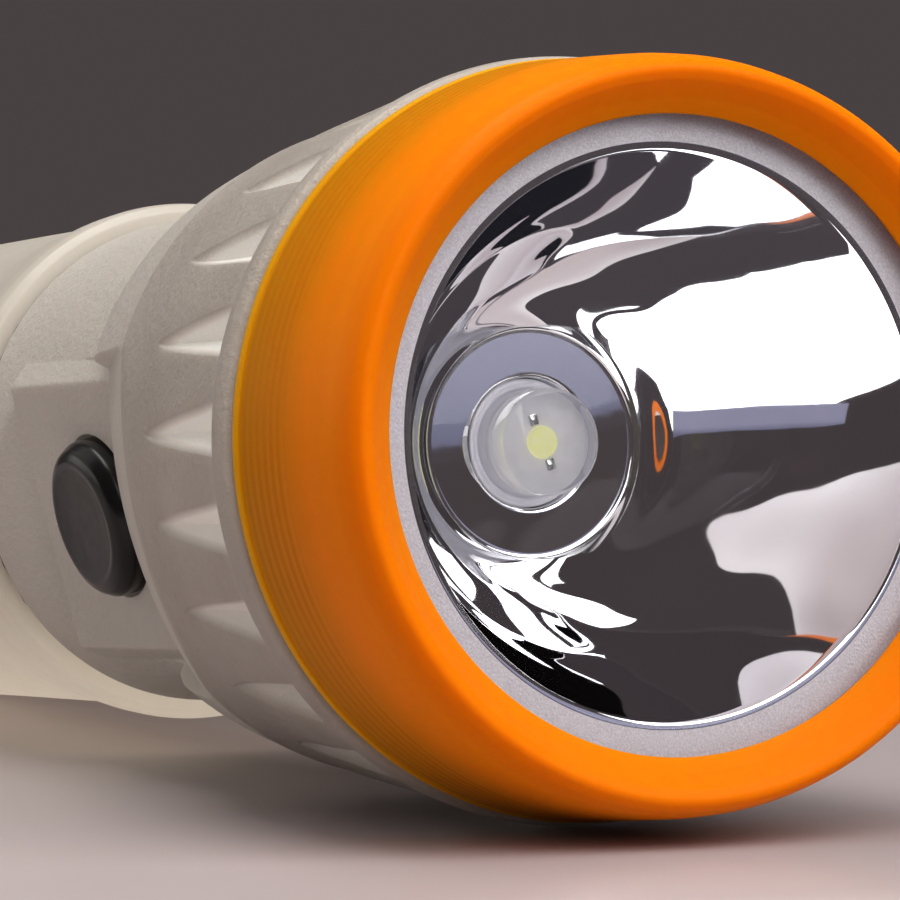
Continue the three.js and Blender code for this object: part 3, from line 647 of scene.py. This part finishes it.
# ------------------------------------------------------------------ lamp
lamp = turned("lamp_body", fillet([
    (0, 18.4), (3.75, 18.4, 0.1), (4.0, 18.62, 0.15), (4.0, 23.3, 0.1), (4.85, 23.4, 0.1), (4.85, 24.1, 0.1), (0, 24.15)], 4), 128)
finish_piece(lamp, [EPOXY], "root", ["led"])
lamp_base = turned("lamp_base", fillet([
    (0, 21.1), (3.78, 21.1, 0.1), (3.86, 21.3, 0.1), (3.86, 23.52, 0.05), (4.72, 23.56, 0.08), (4.72, 24.0, 0.08), (0, 24.02)], 4), 96)
collar = turned("lamp_collar", fillet([
    (4.1, 23.25), (4.1, 22.5, 0.08), (4.32, 22.3, 0.1), (4.5, 22.62, 0.08), (4.74, 22.5, 0.08), (4.8, 22.7), (4.8, 23.25)], 4), 96, closed=True)
finish_piece(collar, [LAMP_BASE], "root", [])
finish_piece(lamp_base, [LAMP_BASE], "root", [])
chip = turned("lamp_chip", fillet([(0, 20.35), (1.0, 20.38, 0.1), (1.15, 20.6, 0.1), (1.2, 21.0, 0.05), (0, 21.05)], 4), 64)
finish_piece(chip, [PHOSPHOR], "root", [])
for n, (z0, z1) in enumerate(((1.3, 2.15), (-2.15, -1.3))):
    tab = prism(f"lamp_tab_{n + 1}", rounded_rect(-0.32 + 0.2 * (n * 2 - 1), 0.32 + 0.2 * (n * 2 - 1), z0, z1, 0.12, 4),
                [(20.75, 0.08), (20.8, 0.0), (21.05, 0.0)], basis=(EX, EZ, EY))
    finish_piece(tab, [NICKEL], "root", [])

# ------------------------------------------------------------------ head shell
COLS = 384
NOTCH_PHASE = 2.8
bulb = hermite(
    [17.3, 18.5, 20, 22, 24, 26, 28, 30, 32, 34, 36, 38, 40, 41.6, 42.3, 43.0, 44, 46, 48, 50, 52, 54, 56, 58, 60, 62, 64, 66, 70],
    [27.86, 27.78, 27.66, 27.47, 27.26, 27.04, 26.83, 26.62, 26.41, 26.2, 25.96, 25.72, 25.52, 25.40, 25.33, 25.15, 25.02, 24.72, 24.40,
     24.05, 23.5, 22.55, 21.6, 20.8, 20.32, 20.12, 20.05, 20.0, 20.0])
TIP, MOUTH, HALF = 33.2, 17.6, 2.0


def notch_half(s):
    t = np.clip((TIP - s) / (TIP - MOUTH), 0, 1)
    return HALF * t**0.6


rows = []          # (s, radius, kind) with kind 'o' outer skin, 'f' fixed radius, 'i' inner skin
for s, r in fillet([(5.0, 23.7), (5.0, 25.2, 0.1), (5.25, 25.4, 0.1), (13.7, 25.4, 0.1), (14.05, 25.9)], 2):
    rows.append((s, r, "f"))
for r, s in fillet([(26.0, 14.12), (27.7, 14.12, 0.25), (28.24, 14.5, 0.5), (28.34, 15.6, 1.2), (28.22, 16.5, 1.0), (27.98, 17.22), (27.9, 17.36)], 4):
    rows.append((s, r, "f"))
for s in [17.6, 17.9, 18.3, 18.9, 19.6, 20.4, 21.3, 22.3, 23.3, 24.3, 25.3, 26.3, 27.3, 28.2, 29.1, 29.9, 30.6, 31.2, 31.7, 32.1, 32.45, 32.7, 32.9, 33.05, 33.2,
          33.4, 33.7, 34.2, 34.9, 35.7, 36.5, 37.4, 38.2, 39.0, 39.7, 40.4]:
    rows.append((s, None, "o"))
s = 40.9
while s < 51.7:
    rows.append((s, None, "o"))
    s += 0.5
for s in [51.7, 52.1, 52.5, 52.9, 53.3, 53.7, 54.0, 54.2, 54.32, 54.4, 54.5, 54.65, 54.9, 55.3, 55.8, 56.4, 57.0, 57.6, 58.3, 59.0, 59.8, 60.6, 61.6,
          62.6, 63.6, 64.6, 65.6, 66.6, 68.0, 70.0, 72.0, 73.6, 74.6, 75.0, 75.14, 75.26, 75.4, 75.7, 76.4, 77.2, 78.0, 78.8, 79.6, 80.3, 80.7]:
    rows.append((s, None, "o"))
for r, s in fillet([(20.0, 81.0), (20.0, 81.6, 0.25), (18.4, 81.6, 0.1), (18.3, 81.4)], 3):
    rows.append((s, r, "f"))
for s, r in ((79.2, 18.3), (78.2, 18.3), (77.0, 18.3), (62.2, 18.3), (58.6, 18.3), (55.0, 20.1), (53.0, 21.0), (51.8, 21.2), (50.6, 21.5), (42.0, 22.8), (30.0, 23.6), (5.3, 23.6)):
    rows.append((s, r, "i"))

base = NOTCH_PHASE + np.arange(COLS) * (360.0 / COLS)            # degrees, from +Z towards +X
within = ((np.arange(COLS) + 8) % 16) - 8                        # -8..7 across each notch pitch
centre = base - within * (360.0 / COLS)
# columns for the recess of the button, counted from -X
pad_angle = (base + 90 + 180) % 360 - 180
order = [j for j in np.argsort(pad_angle) if -60 <= pad_angle[j] <= 60]
side = [31.5, 31.9, 32.2, 32.6, 33.3, 33.9, 34.15, 34.4, 35.0, 36.2, 37.3, 37.8, 38.05, 38.35, 38.9]
n_all = len(order)
n_pos = n_all // 2
n_in = 30
n_out = n_pos - n_in - len(side)
half_cols = ([(i + 0.5) * side[0] / (n_in + 0.5) for i in range(n_in)] + side
             + [side[-1] + (60.5 - side[-1]) * (i + 1) / (n_out + 1) for i in range(n_out)])
target = sorted([-a for a in half_cols] + half_cols)
if len(target) < n_all:
    target.append(0.0)
    target.sort()
pad_target = dict(zip(order, target[:n_all]))


def row_angles(s, kind):
    ang = base.copy()
    r = float(bulb(np.clip(s, 17.3, 70.0)))
    # near the notches, columns gather along their edges
    w = math.degrees(max(float(notch_half(s)), 0.22) / r)
    k = float(1 - step(s, TIP + 0.2, TIP + 6.0)) if s < 60 else 0.0
    if kind == "i" or s < 14.0:
        k = 0.0
    if k > 0:
        u = {0: 0.0, 1: 0.30, 2: 0.62, 3: 0.90, 4: 1.0, 5: 1.0, 6: 1.0, 7: 1.0, 8: 1.0}
        gap = math.degrees(0.16 / r)
        edge = w + gap
        for j in range(COLS):
            q = abs(int(within[j]))
            sg = 1 if within[j] >= 0 else -1
            if q <= 4:
                a = w * u[q]
            elif q == 5:
                a = edge
            else:
                a = edge + (7.5 - edge) * (q - 5) / 3.0
            ang[j] = ang[j] * (1 - k) + (centre[j] + sg * a) * k
    # at the recess, columns gather along its edges
    p = float(step(s, 35.5, 41.0) * (1 - step(s, 79.0, 81.5)))
    if kind == "i":
        p = float(step(s, 44.0, 50.5) * (1 - step(s, 79.0, 81.5)))
    if p > 0:
        for j, a in pad_target.items():
            now = (ang[j] + 90 + 180) % 360 - 180
            ang[j] += p * (a - now)
    return ang


PAD_X = 17.6


def facet_x(s, z):
    """Depth of the soft ramp in the bulb that leads down to the button."""
    return 20.3 + 0.36 * (52.0 - s) - 1.7 * ((z + 0.5) / 11.5) ** 2


def outer_r(s, ang):
    r0 = float(bulb(np.clip(s, 17.3, 70.0)))
    r = np.full(COLS, r0)
    if MOUTH - 0.01 <= s <= TIP:
        h = float(notch_half(s))
        depth = h / 1.02
        d = np.abs(np.radians(ang - centre) * r0)
        x = np.sqrt(d * d + 0.07**2) - 0.02
        a = depth * (1 - x / max(h, 1e-3))
        r = r0 - 0.5 * (a + np.sqrt(a * a + 0.05**2)) + 0.0
        if s < MOUTH + 0.01:
            r = r0 - np.maximum(r0 - r, 0) * 0.93
    sphi = (ang + 90 + 180) % 360 - 180
    phi = np.abs(sphi)
    near = phi < 60
    c, sn = np.cos(np.radians(phi)), np.sin(np.radians(sphi))
    if 33.0 <= s <= 54.36:
        q = np.full(COLS, r0)
        for _ in range(8):
            q = 0.5 * q + 0.5 * np.clip(facet_x(s, np.clip(q * sn, -13.5, 13.5)) / np.maximum(c, 0.3), 15.0, 40.0)
        m = 1 - step(phi, 33.9, 34.4)
        inside = soft_min(r, q, 0.22)
        r = np.where(near & (q < r0 + 1.0), r * (1 - m) + inside * m, r)
    if 54.36 < s <= 75.2:
        slab = soft_min(PAD_X / np.maximum(c, 0.2), 19.36 / (0.6 * c + 0.8 * np.abs(sn)), 0.2)
        m = 1 - step(phi, 37.95, 38.45)
        r = np.where(near, r * (1 - m) + slab * m, r)
    if 75.2 < s <= 80.8:
        ramp_x = PAD_X + (s - 75.2) * 0.44
        r = np.where(near, soft_min(r, ramp_x / np.maximum(c, 0.2), 0.25), r)
    return r


def inner_r(s, r0, ang):
    phi = np.abs((ang + 90 + 180) % 360 - 180)
    r = np.full(COLS, float(r0))
    c = np.cos(np.radians(np.minimum(phi, 60)))
    if 36.0 <= s < 51.0:
        r = np.where(phi < 50, np.minimum(r, (17.0 + 0.36 * (52.0 - s)) / c), r)
    if 51.0 <= s <= 78.5:
        r = np.where(phi < 50, np.minimum(r, 15.85 / c), r)
    return r


verts, faces = [], []
for s, r0, kind in rows:
    ang = row_angles(s, kind)
    if kind == "o":
        r = outer_r(s, ang)
    elif kind == "i":
        r = inner_r(s, r0, ang)
    else:
        r = np.full(COLS, float(r0))
    a = np.radians(ang)
    verts.append(np.stack([r * np.sin(a), np.full(COLS, s), r * np.cos(a)], 1))
verts = np.concatenate(verts)
n_rows = len(rows)
for k in range(n_rows):
    k2 = (k + 1) % n_rows
    for j in range(COLS):
        j2 = (j + 1) % COLS
        faces.append((k * COLS + j, k2 * COLS + j, k2 * COLS + j2, k * COLS + j2))
head = raw("head", verts, faces)
hole = turned("hole", [(0, -24), (6.75, -24), (6.75, -14), (0, -14)], 96, centre=(0, 62.2, 0), basis=ALONG_X)
cut(head, hole)
finish_piece(head, [FROST], "root", ["head_shell"], sharp=30)

# ------------------------------------------------------------------ button
btn = fillet([
    (0, -19.52), (2.6, -19.56), (4.1, -19.72), (4.55, -19.86, 0.5), (5.0, -19.95, 0.6), (5.8, -19.6, 1.0), (6.4, -18.6, 0.9),
    (6.42, -15.42), (7.65, -15.4, 0.1), (7.65, -14.42, 0.1), (0, -14.4)], 8)
button = turned("button", btn, 128, centre=(0, 62.2, 0), basis=ALONG_X,
                mat_of=lambda i, p: 1 if p[i][0] < 4.5 and p[i][1] < -19 else 0)
finish_piece(button, [BLACK, DISH], "button", ["switch_button"])

# ------------------------------------------------------------------ rear barrel
ring = fillet([
    (17.9, 78.7, 0.1), (17.9, 82.6, 0.05), (20.9, 82.62, 0.35), (21.45, 83.2, 0.5), (21.6, 84.4, 0.8), (21.45, 86.6, 2.0), (21.0, 90.2, 3.0), (20.62, 93.8, 3.0),
    (20.45, 98.0, 3.0), (20.36, 106.0), (20.2, 118.0), (20.05, 135), (19.96, 153.3, 0.2), (19.7, 153.55, 0.1), (18.1, 153.6, 0.1), (17.95, 153.3, 0.1),
    (17.95, 83.8, 0.1), (16.4, 82.2, 0.1), (16.4, 78.7, 0.1), (17.9, 78.6)], 6)
ring = [ring[0]] + ring[1:-1]
dense = []
for (r0, y0), (r1, y1) in zip(ring, ring[1:] + ring[:1]):
    n = max(1, int(abs(y1 - y0) / 6.0))
    for i in range(n):
        dense.append((r0 + (r1 - r0) * i / n, y0 + (y1 - y0) * i / n))
FLAT_X = 19.2


def flatten(r, t, ang):
    x = np.cos(ang - math.pi / 2)          # towards +X
    flat = FLAT_X / np.maximum(x, 0.3)
    return soft_min(np.full(len(ang), r), flat, 0.06) if r > 19.3 else np.full(len(ang), r)


barrel = turned("barrel", dense, 288, closed=True, wobble=flatten)
cut(barrel, turned("hole", [(0, 14), (4.9, 14), (4.9, 26), (0, 26)], 64, centre=(0, 140, 0), basis=ALONG_X))
finish_piece(barrel, [CREAM], "root", ["rear_barrel"])

cap = fillet([
    (0, 157.6), (12.6, 157.6, 0.2), (12.6, 153.9, 0.1), (20.05, 153.9, 0.15), (20.38, 154.4, 0.3), (20.4, 157.0, 0.6), (19.75, 158.8, 1.2), (18.4, 159.58, 0.8),
    (13.0, 159.6), (12.6, 159.45, 0.1), (12.3, 159.35, 0.1), (0, 159.35)], 6)
tail = turned("tail", cap, 192, wobble=flatten)
cut(tail, *[turned("hole", [(0, 152), (1.05, 152), (1.05, 157.7), (2.3, 157.7), (2.3, 159.3), (2.6, 159.9), (0, 159.9)], 48, centre=(0, 0, z)) for z in (-15.6, 15.6)])
finish_piece(tail, [CREAM], "root", ["tail_cap"])


# ------------------------------------------------------------------ screws
def screw(name, node, centre, basis, head_r, t_under, t_top, shank_r, t_end, body, mat=STEEL):
    """A pan head screw with a cross recess. The head is on the high side of t."""
    h = t_top - t_under
    p = fillet([(0, t_end), (shank_r * 0.6, t_end), (shank_r, t_end + shank_r), (shank_r, t_under, 0.02), (head_r, t_under, 0.06),
                (head_r, t_under + h * 0.45, 0.12), (head_r * 0.8, t_top - 0.08, 0.5), (head_r * 0.35, t_top), (0, t_top)], 5)
    ob = turned(name, p, 48, centre=centre, basis=basis)
    w, l, d = head_r * 0.16, head_r * 0.62, min(0.55 * h + 0.25, head_r * 0.6)
    for k in range(2):
        e1, e2, e3 = basis
        if k:
            e1, e2 = e2, e1
        tool = prism("tool", rounded_rect(-l, l, -w, w, w * 0.4, 3), [(t_top - d, w * 0.35), (t_top + 0.3, 0.0)], basis=(e1, e2, e3), centre=centre)
        cut(ob, tool)
    return finish_piece(ob, [mat], body, [node])


screw("screw_tail_1", "tail_screw_1", (0, 0, -15.6), ALONG_Y, 1.9, 158.0, 159.2, 0.62, 149.0, "root")
screw("screw_tail_2", "tail_screw_2", (0, 0, 15.6), ALONG_Y, 1.9, 158.0, 159.2, 0.62, 149.0, "root")
screw("screw_crank", "crank_screw", (0, 140, 0), ALONG_X, 3.2, 23.7, 25.3, 0.85, 17.2, "crank")
screw("screw_knob", "knob_screw", (24, 0, 0), ALONG_Y, 2.55, 114.4, 115.5, 0.6, 108.6, "knob_hinge")

# ------------------------------------------------------------------ crank arm
HUB, TIPR, CY, KY = 9.4, 7.4, 140.0, 96.0
lean = math.asin((HUB - TIPR) / (CY - KY))
outline = []
for i in range(41):
    t = -math.pi / 2 - lean + (math.pi + 2 * lean) * i / 40
    outline.append((CY + HUB * math.cos(t), HUB * math.sin(t)))
for i in range(1, 8):
    a, b = np.array(outline[-1 if i == 1 else 40]), np.array((KY + TIPR * math.cos(math.pi / 2 + lean), TIPR * math.sin(math.pi / 2 + lean)))
    outline.append(tuple(a + (b - a) * i / 8))
for i in range(33):
    t = math.pi / 2 + lean + (math.pi - 2 * lean) * i / 32
    outline.append((KY + TIPR * math.cos(t), TIPR * math.sin(t)))
first, last = np.array(outline[0]), np.array(outline[-1])
for i in range(1, 8):
    outline.append(tuple(last + (first - last) * i / 8))
soft_edge = [(19.8, 0.55), (19.86, 0.3), (19.98, 0.12), (20.2, 0.02), (20.4, 0.0)]
top_edge = [(24.9, 0.0), (25.15, 0.04), (25.4, 0.16), (25.6, 0.36), (25.74, 0.66), (25.8, 1.0)]
arm = prism("arm", outline, soft_edge + top_edge, basis=(EY, EZ, EX))
slot_tool = prism("tool", rounded_rect(KY - 4.0, KY + 23.6, -5.0, 5.0, 1.6, 8),
                  [(19.0, -0.3), (19.8, -0.3), (20.1, 0.0), (25.35, 0.0), (25.8, -0.4), (26.4, -1.0)], basis=(EY, EZ, EX))
hub_tool = turned("tool", [(0, 23.4), (3.7, 23.4), (3.7, 25.5), (4.1, 25.95), (4.1, 27), (0, 27)], 64, centre=(0, CY, 0), basis=ALONG_X)
square = prism("tool", rounded_rect(CY - 2.45, CY + 2.45, -2.45, 2.45, 0.3, 3), [(19.0, 0.0), (23.8, 0.0)], basis=(EY, EZ, EX))
pin_tool = turned("tool", [(0, -9), (1.35, -9), (1.35, 9), (0, 9)], 32, centre=(24, KY, 0), basis=ALONG_Z)
panel = prism("tool", rounded_rect(KY + 26.2, CY - 7.2, -3.9, 3.9, 1.5, 8), [(25.4, 0.25), (25.55, 0.0), (26.5, 0.0)], basis=(EY, EZ, EX))
cut(arm, slot_tool, hub_tool, square, pin_tool, panel)
finish_piece(arm, [FROST], "crank", ["crank_arm"], sharp=30)

# ------------------------------------------------------------------ folding knob
pin = turned("pivot_pin", fillet([(0, -7.2), (0.9, -7.2, 0.12), (1.05, -6.95, 0.1), (1.05, 6.95, 0.1), (0.9, 7.2, 0.12), (0, 7.2)], 4), 32, centre=(24, KY, 0), basis=ALONG_Z)
finish_piece(pin, [STEEL], "crank", ["knob_pin"])
yoke = turned("yoke", fillet([(0, -4.6), (3.0, -4.6, 0.35), (3.0, 4.6, 0.35), (0, 4.6)], 4), 64, centre=(24, KY, 0), basis=ALONG_Z)
stem = turned("tool", fillet([(0, KY + 1.0), (1.75, KY + 1.0), (1.75, KY + 17.9, 0.2), (0, KY + 18.0)], 4), 48, centre=(24, 0, 0))
cut(yoke, stem, how="UNION")
cut(yoke, turned("tool", [(0, -6), (1.35, -6), (1.35, 6), (0, 6)], 32, centre=(24, KY, 0), basis=ALONG_Z),
    turned("tool", [(0, KY + 12), (0.85, KY + 12), (0.85, KY + 19), (0, KY + 19)], 24, centre=(24, 0, 0)))
finish_piece(yoke, [WHITE], "knob_hinge", ["knob_yoke"])

grip_r = hermite([99.75, 100.6, 102.2, 105.0, 108.0, 111.5, 113.6, 114.8, 115.75], [3.75, 4.12, 4.28, 4.22, 4.12, 4.24, 4.28, 4.1, 3.6])
gp = [(2.12, 115.6 - 1.7), (2.12, 99.9), (2.3, 99.72), (3.3, 99.72)]
for i in range(41):
    y = 99.78 + (115.7 - 99.78) * i / 40
    gp.append((float(grip_r(y)), y))
gp += [(3.35, 115.78), (3.05, 115.75), (2.9, 115.6), (2.9, 114.2), (2.85, 113.95), (2.2, 113.9)]


def flutes(r, t, ang):
    if r < 3.5 or t < 101.2 or t > 114.4:
        return np.full(len(ang), r)
    k = float(step(t, 101.2, 102.6) * (1 - step(t, 113.0, 114.4)))
    return r - 0.28 * k * (0.5 - 0.5 * np.cos(12 * ang)) ** 1.5


grip = turned("grip", gp, 144, closed=True, centre=(24, 0, 0), wobble=flutes)
finish_piece(grip, [KNOB_ORANGE], "knob", ["knob_grip"], sharp=40)

# ------------------------------------------------------------------ pieces kept from the frame
KEPT = {
    "lens_seal": RUBBER, "led_board": BOARD, "led_screw_1": STEEL, "led_screw_2": STEEL, "switch_body": BLACK, "switch_board": BOARD,
    "switch_screw_1": STEEL, "switch_screw_2": STEEL, "lamp_wire_red": RED, "lamp_wire_black": RUBBER, "neck_seal": RUBBER,
    "battery_cradle": WHITE, "battery_cell_1": NICKEL, "battery_cell_2": NICKEL, "battery_cell_3": NICKEL, "charge_board": BOARD,
    "rectifier": BLACK, "capacitor": YELLOW, "gear_frame": WHITE, "gear_cover": WHITE, "gearbox_screw_1": STEEL, "gearbox_screw_2": STEEL,
    "gearbox_screw_3": STEEL, "gearbox_screw_4": STEEL, "crank_shaft": ALLOY, "crank_gear": WHITE, "idler_gear": WHITE, "idler_axle": STEEL,
    "rotor_pinion": BRASS, "rotor_shaft": STEEL, "rotor_magnet": MAGNET, "generator_coil": COPPER, "generator_case": STEEL, "crank_bushing": WHITE,
}
for n, mat in KEPT.items():
    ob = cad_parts[n]
    ob.data.materials.clear()
    ob.data.materials.append(mat)

# ------------------------------------------------------------------ floor, light, camera
def floor_material():
    m = Nodes("pale_top")
    c = m.noise(6, 3, 0.5)
    col = m.ramp(c, [(0.3, (0.42, 0.36, 0.36)), (0.7, (0.465, 0.40, 0.40))])
    y = m.node("ShaderNodeSeparateXYZ")
    m.link(m.obj, y.inputs[0])
    # Painted light: the table is lighter along the strip nearest the camera.
    near = m.math("MULTIPLY", m.math("SUBTRACT", -0.108, y.outputs["Y"]), 30.0, clamp=True)
    m.to("Base Color", m.mix(near, col, (0.66, 0.61, 0.605)))
    m.to("Roughness", m.span(m.noise(60, 3, 0.5), 0.34, 0.42))
    m.to("Normal", m.bump(m.noise(900, 3, 0.5), 0.05, 0.00005))
    m.set(IOR=1.45)
    return m.mat


def slab_mesh(name, x0, x1, y0, y1, z0, z1, bevel):
    me = bpy.data.meshes.new(name)
    bm = bmesh.new()
    bmesh.ops.create_cube(bm, size=1.0)
    for v in bm.verts:
        v.co = Vector((x0 + (v.co.x + 0.5) * (x1 - x0), y0 + (v.co.y + 0.5) * (y1 - y0), z0 + (v.co.z + 0.5) * (z1 - z0)))
    bmesh.ops.bevel(bm, geom=list(bm.edges), offset=bevel, segments=3, profile=0.5, affect="EDGES")
    bm.to_mesh(me)
    bm.free()
    ob = bpy.data.objects.new(name, me)
    bpy.context.scene.collection.objects.link(ob)
    return ob


floor = slab_mesh("table_top", -0.9, 0.9, -0.150, 1.0, -0.018, -0.00009, 0.0015)
floor.data.materials.append(floor_material())


def direction(az, el):
    a, e = math.radians(az), math.radians(el)
    return Vector((math.sin(a) * math.cos(e), -math.cos(a) * math.cos(e), math.sin(e)))


def panel_light(name, corners, towards, dist, strength, colour=(1, 1, 1)):
    """A flat glowing panel whose corners are directions (azimuth, elevation) seen from the lens."""
    eye = point((0, 0, 0))
    n = direction(*towards)
    pts = [eye + direction(*c) * (dist / max(direction(*c).dot(n), 0.15)) for c in corners]
    me = bpy.data.meshes.new(name)
    me.from_pydata([tuple(p) for p in pts], [], [tuple(range(len(pts)))])
    ob = bpy.data.objects.new(name, me)
    bpy.context.scene.collection.objects.link(ob)
    mat = bpy.data.materials.new(name)
    mat.use_nodes = True
    nt = mat.node_tree
    nt.nodes.clear()
    em = nt.nodes.new("ShaderNodeEmission")
    em.inputs["Color"].default_value = (*colour, 1)
    em.inputs["Strength"].default_value = strength
    out = nt.nodes.new("ShaderNodeOutputMaterial")
    nt.links.new(em.outputs[0], out.inputs[0])
    me.materials.append(mat)
    return ob


panel_light("soft_panel_key", [(-38, 37), (-35, 19.5), (-30.4, 21.2), (-24.6, 22.5), (-18, 20.7), (-10.7, 25.5), (1.7, 25), (12.6, 20.5), (19, 12), (21, 5.2), (26, 6.9), (27.5, 7.4), (29, 11), (32.5, 15.4), (39.4, 19.6), (45, 23.5), (66, 40), (56, 74), (-28, 70), (-36, 48)], (10, 44), 0.62, 3.9, (1.0, 0.995, 0.985))
screen = panel_light("grey_screen", [(21, 2.8), (26.6, 3.7), (29.9, 4.2), (34, 4.9), (34.5, 14), (21, 13)], (28, 12), 0.72, 1.0)
tree = screen.data.materials[0].node_tree
coord = tree.nodes.new("ShaderNodeTexCoord")
split = tree.nodes.new("ShaderNodeSeparateXYZ")
fade = tree.nodes.new("ShaderNodeMapRange")
fade.inputs["From Min"].default_value, fade.inputs["From Max"].default_value = 0.076, 0.112
tint = tree.nodes.new("ShaderNodeValToRGB")
tint.color_ramp.elements[0].color = (0.17, 0.17, 0.25, 1)
tint.color_ramp.elements[1].color = (0.34, 0.33, 0.44, 1)
tree.links.new(coord.outputs["Object"], split.inputs[0])
tree.links.new(split.outputs["Z"], fade.inputs["Value"])
tree.links.new(fade.outputs[0], tint.inputs["Fac"])
tree.links.new(tint.outputs["Color"], tree.nodes["Emission"].inputs["Color"])
panel_light("soft_panel_low", [(-23, 10.5), (-11, 11.5), (-11, 18.5), (-21, 18.5)], (-17, 15), 0.66, 2.6, (1.0, 0.99, 0.98))
panel_light("soft_panel_side", [(-152, 2), (-104, 2), (-104, 17), (-152, 17)], (-128, 9), 0.95, 1.4, (1.0, 0.97, 0.93))
panel_light("soft_panel_left", [(-160, 20), (-112, 20), (-112, 58), (-160, 58)], (-136, 38), 0.9, 0.6, (1.0, 0.985, 0.96))
panel_light("soft_panel_top", [(-150, 56), (-70, 62), (-40, 80), (40, 84), (140, 72), (180, 58)], (-150, 80), 0.75, 5.0, (1.0, 0.985, 0.955))

world = bpy.data.worlds.new("studio")
bpy.context.scene.world = world
world.use_nodes = True
bg = world.node_tree.nodes["Background"]
bg.inputs["Color"].default_value = (0.066, 0.054, 0.055, 1)
bg.inputs["Strength"].default_value = 1.0

cam = bpy.data.cameras.new("camera")
cam.lens, cam.sensor_width = 240.0, 36.0
cam.clip_start, cam.clip_end = 0.01, 20.0
cam_ob = bpy.data.objects.new("camera", cam)
bpy.context.scene.collection.objects.link(cam_ob)
az, el = math.radians(-26.37), math.radians(2.15)
back = Vector((math.sin(az) * math.cos(el), -math.cos(az) * math.cos(el), math.sin(el)))
right = Vector((math.cos(az), math.sin(az), 0))
up = Vector((-math.sin(az) * math.sin(el), math.cos(az) * math.sin(el), math.cos(el)))
cam_ob.location = point((0, 0, 0)) + (right * -15.584 + up * -1.034 + back * 427.83) * 0.001
cam_ob.rotation_mode = "QUATERNION"
cam_ob.rotation_quaternion = Matrix((right, up, back)).transposed().to_quaternion()
bpy.context.scene.camera = cam_ob
bpy.context.scene.view_settings.view_transform = "Standard"

bpy.context.view_layer.update()
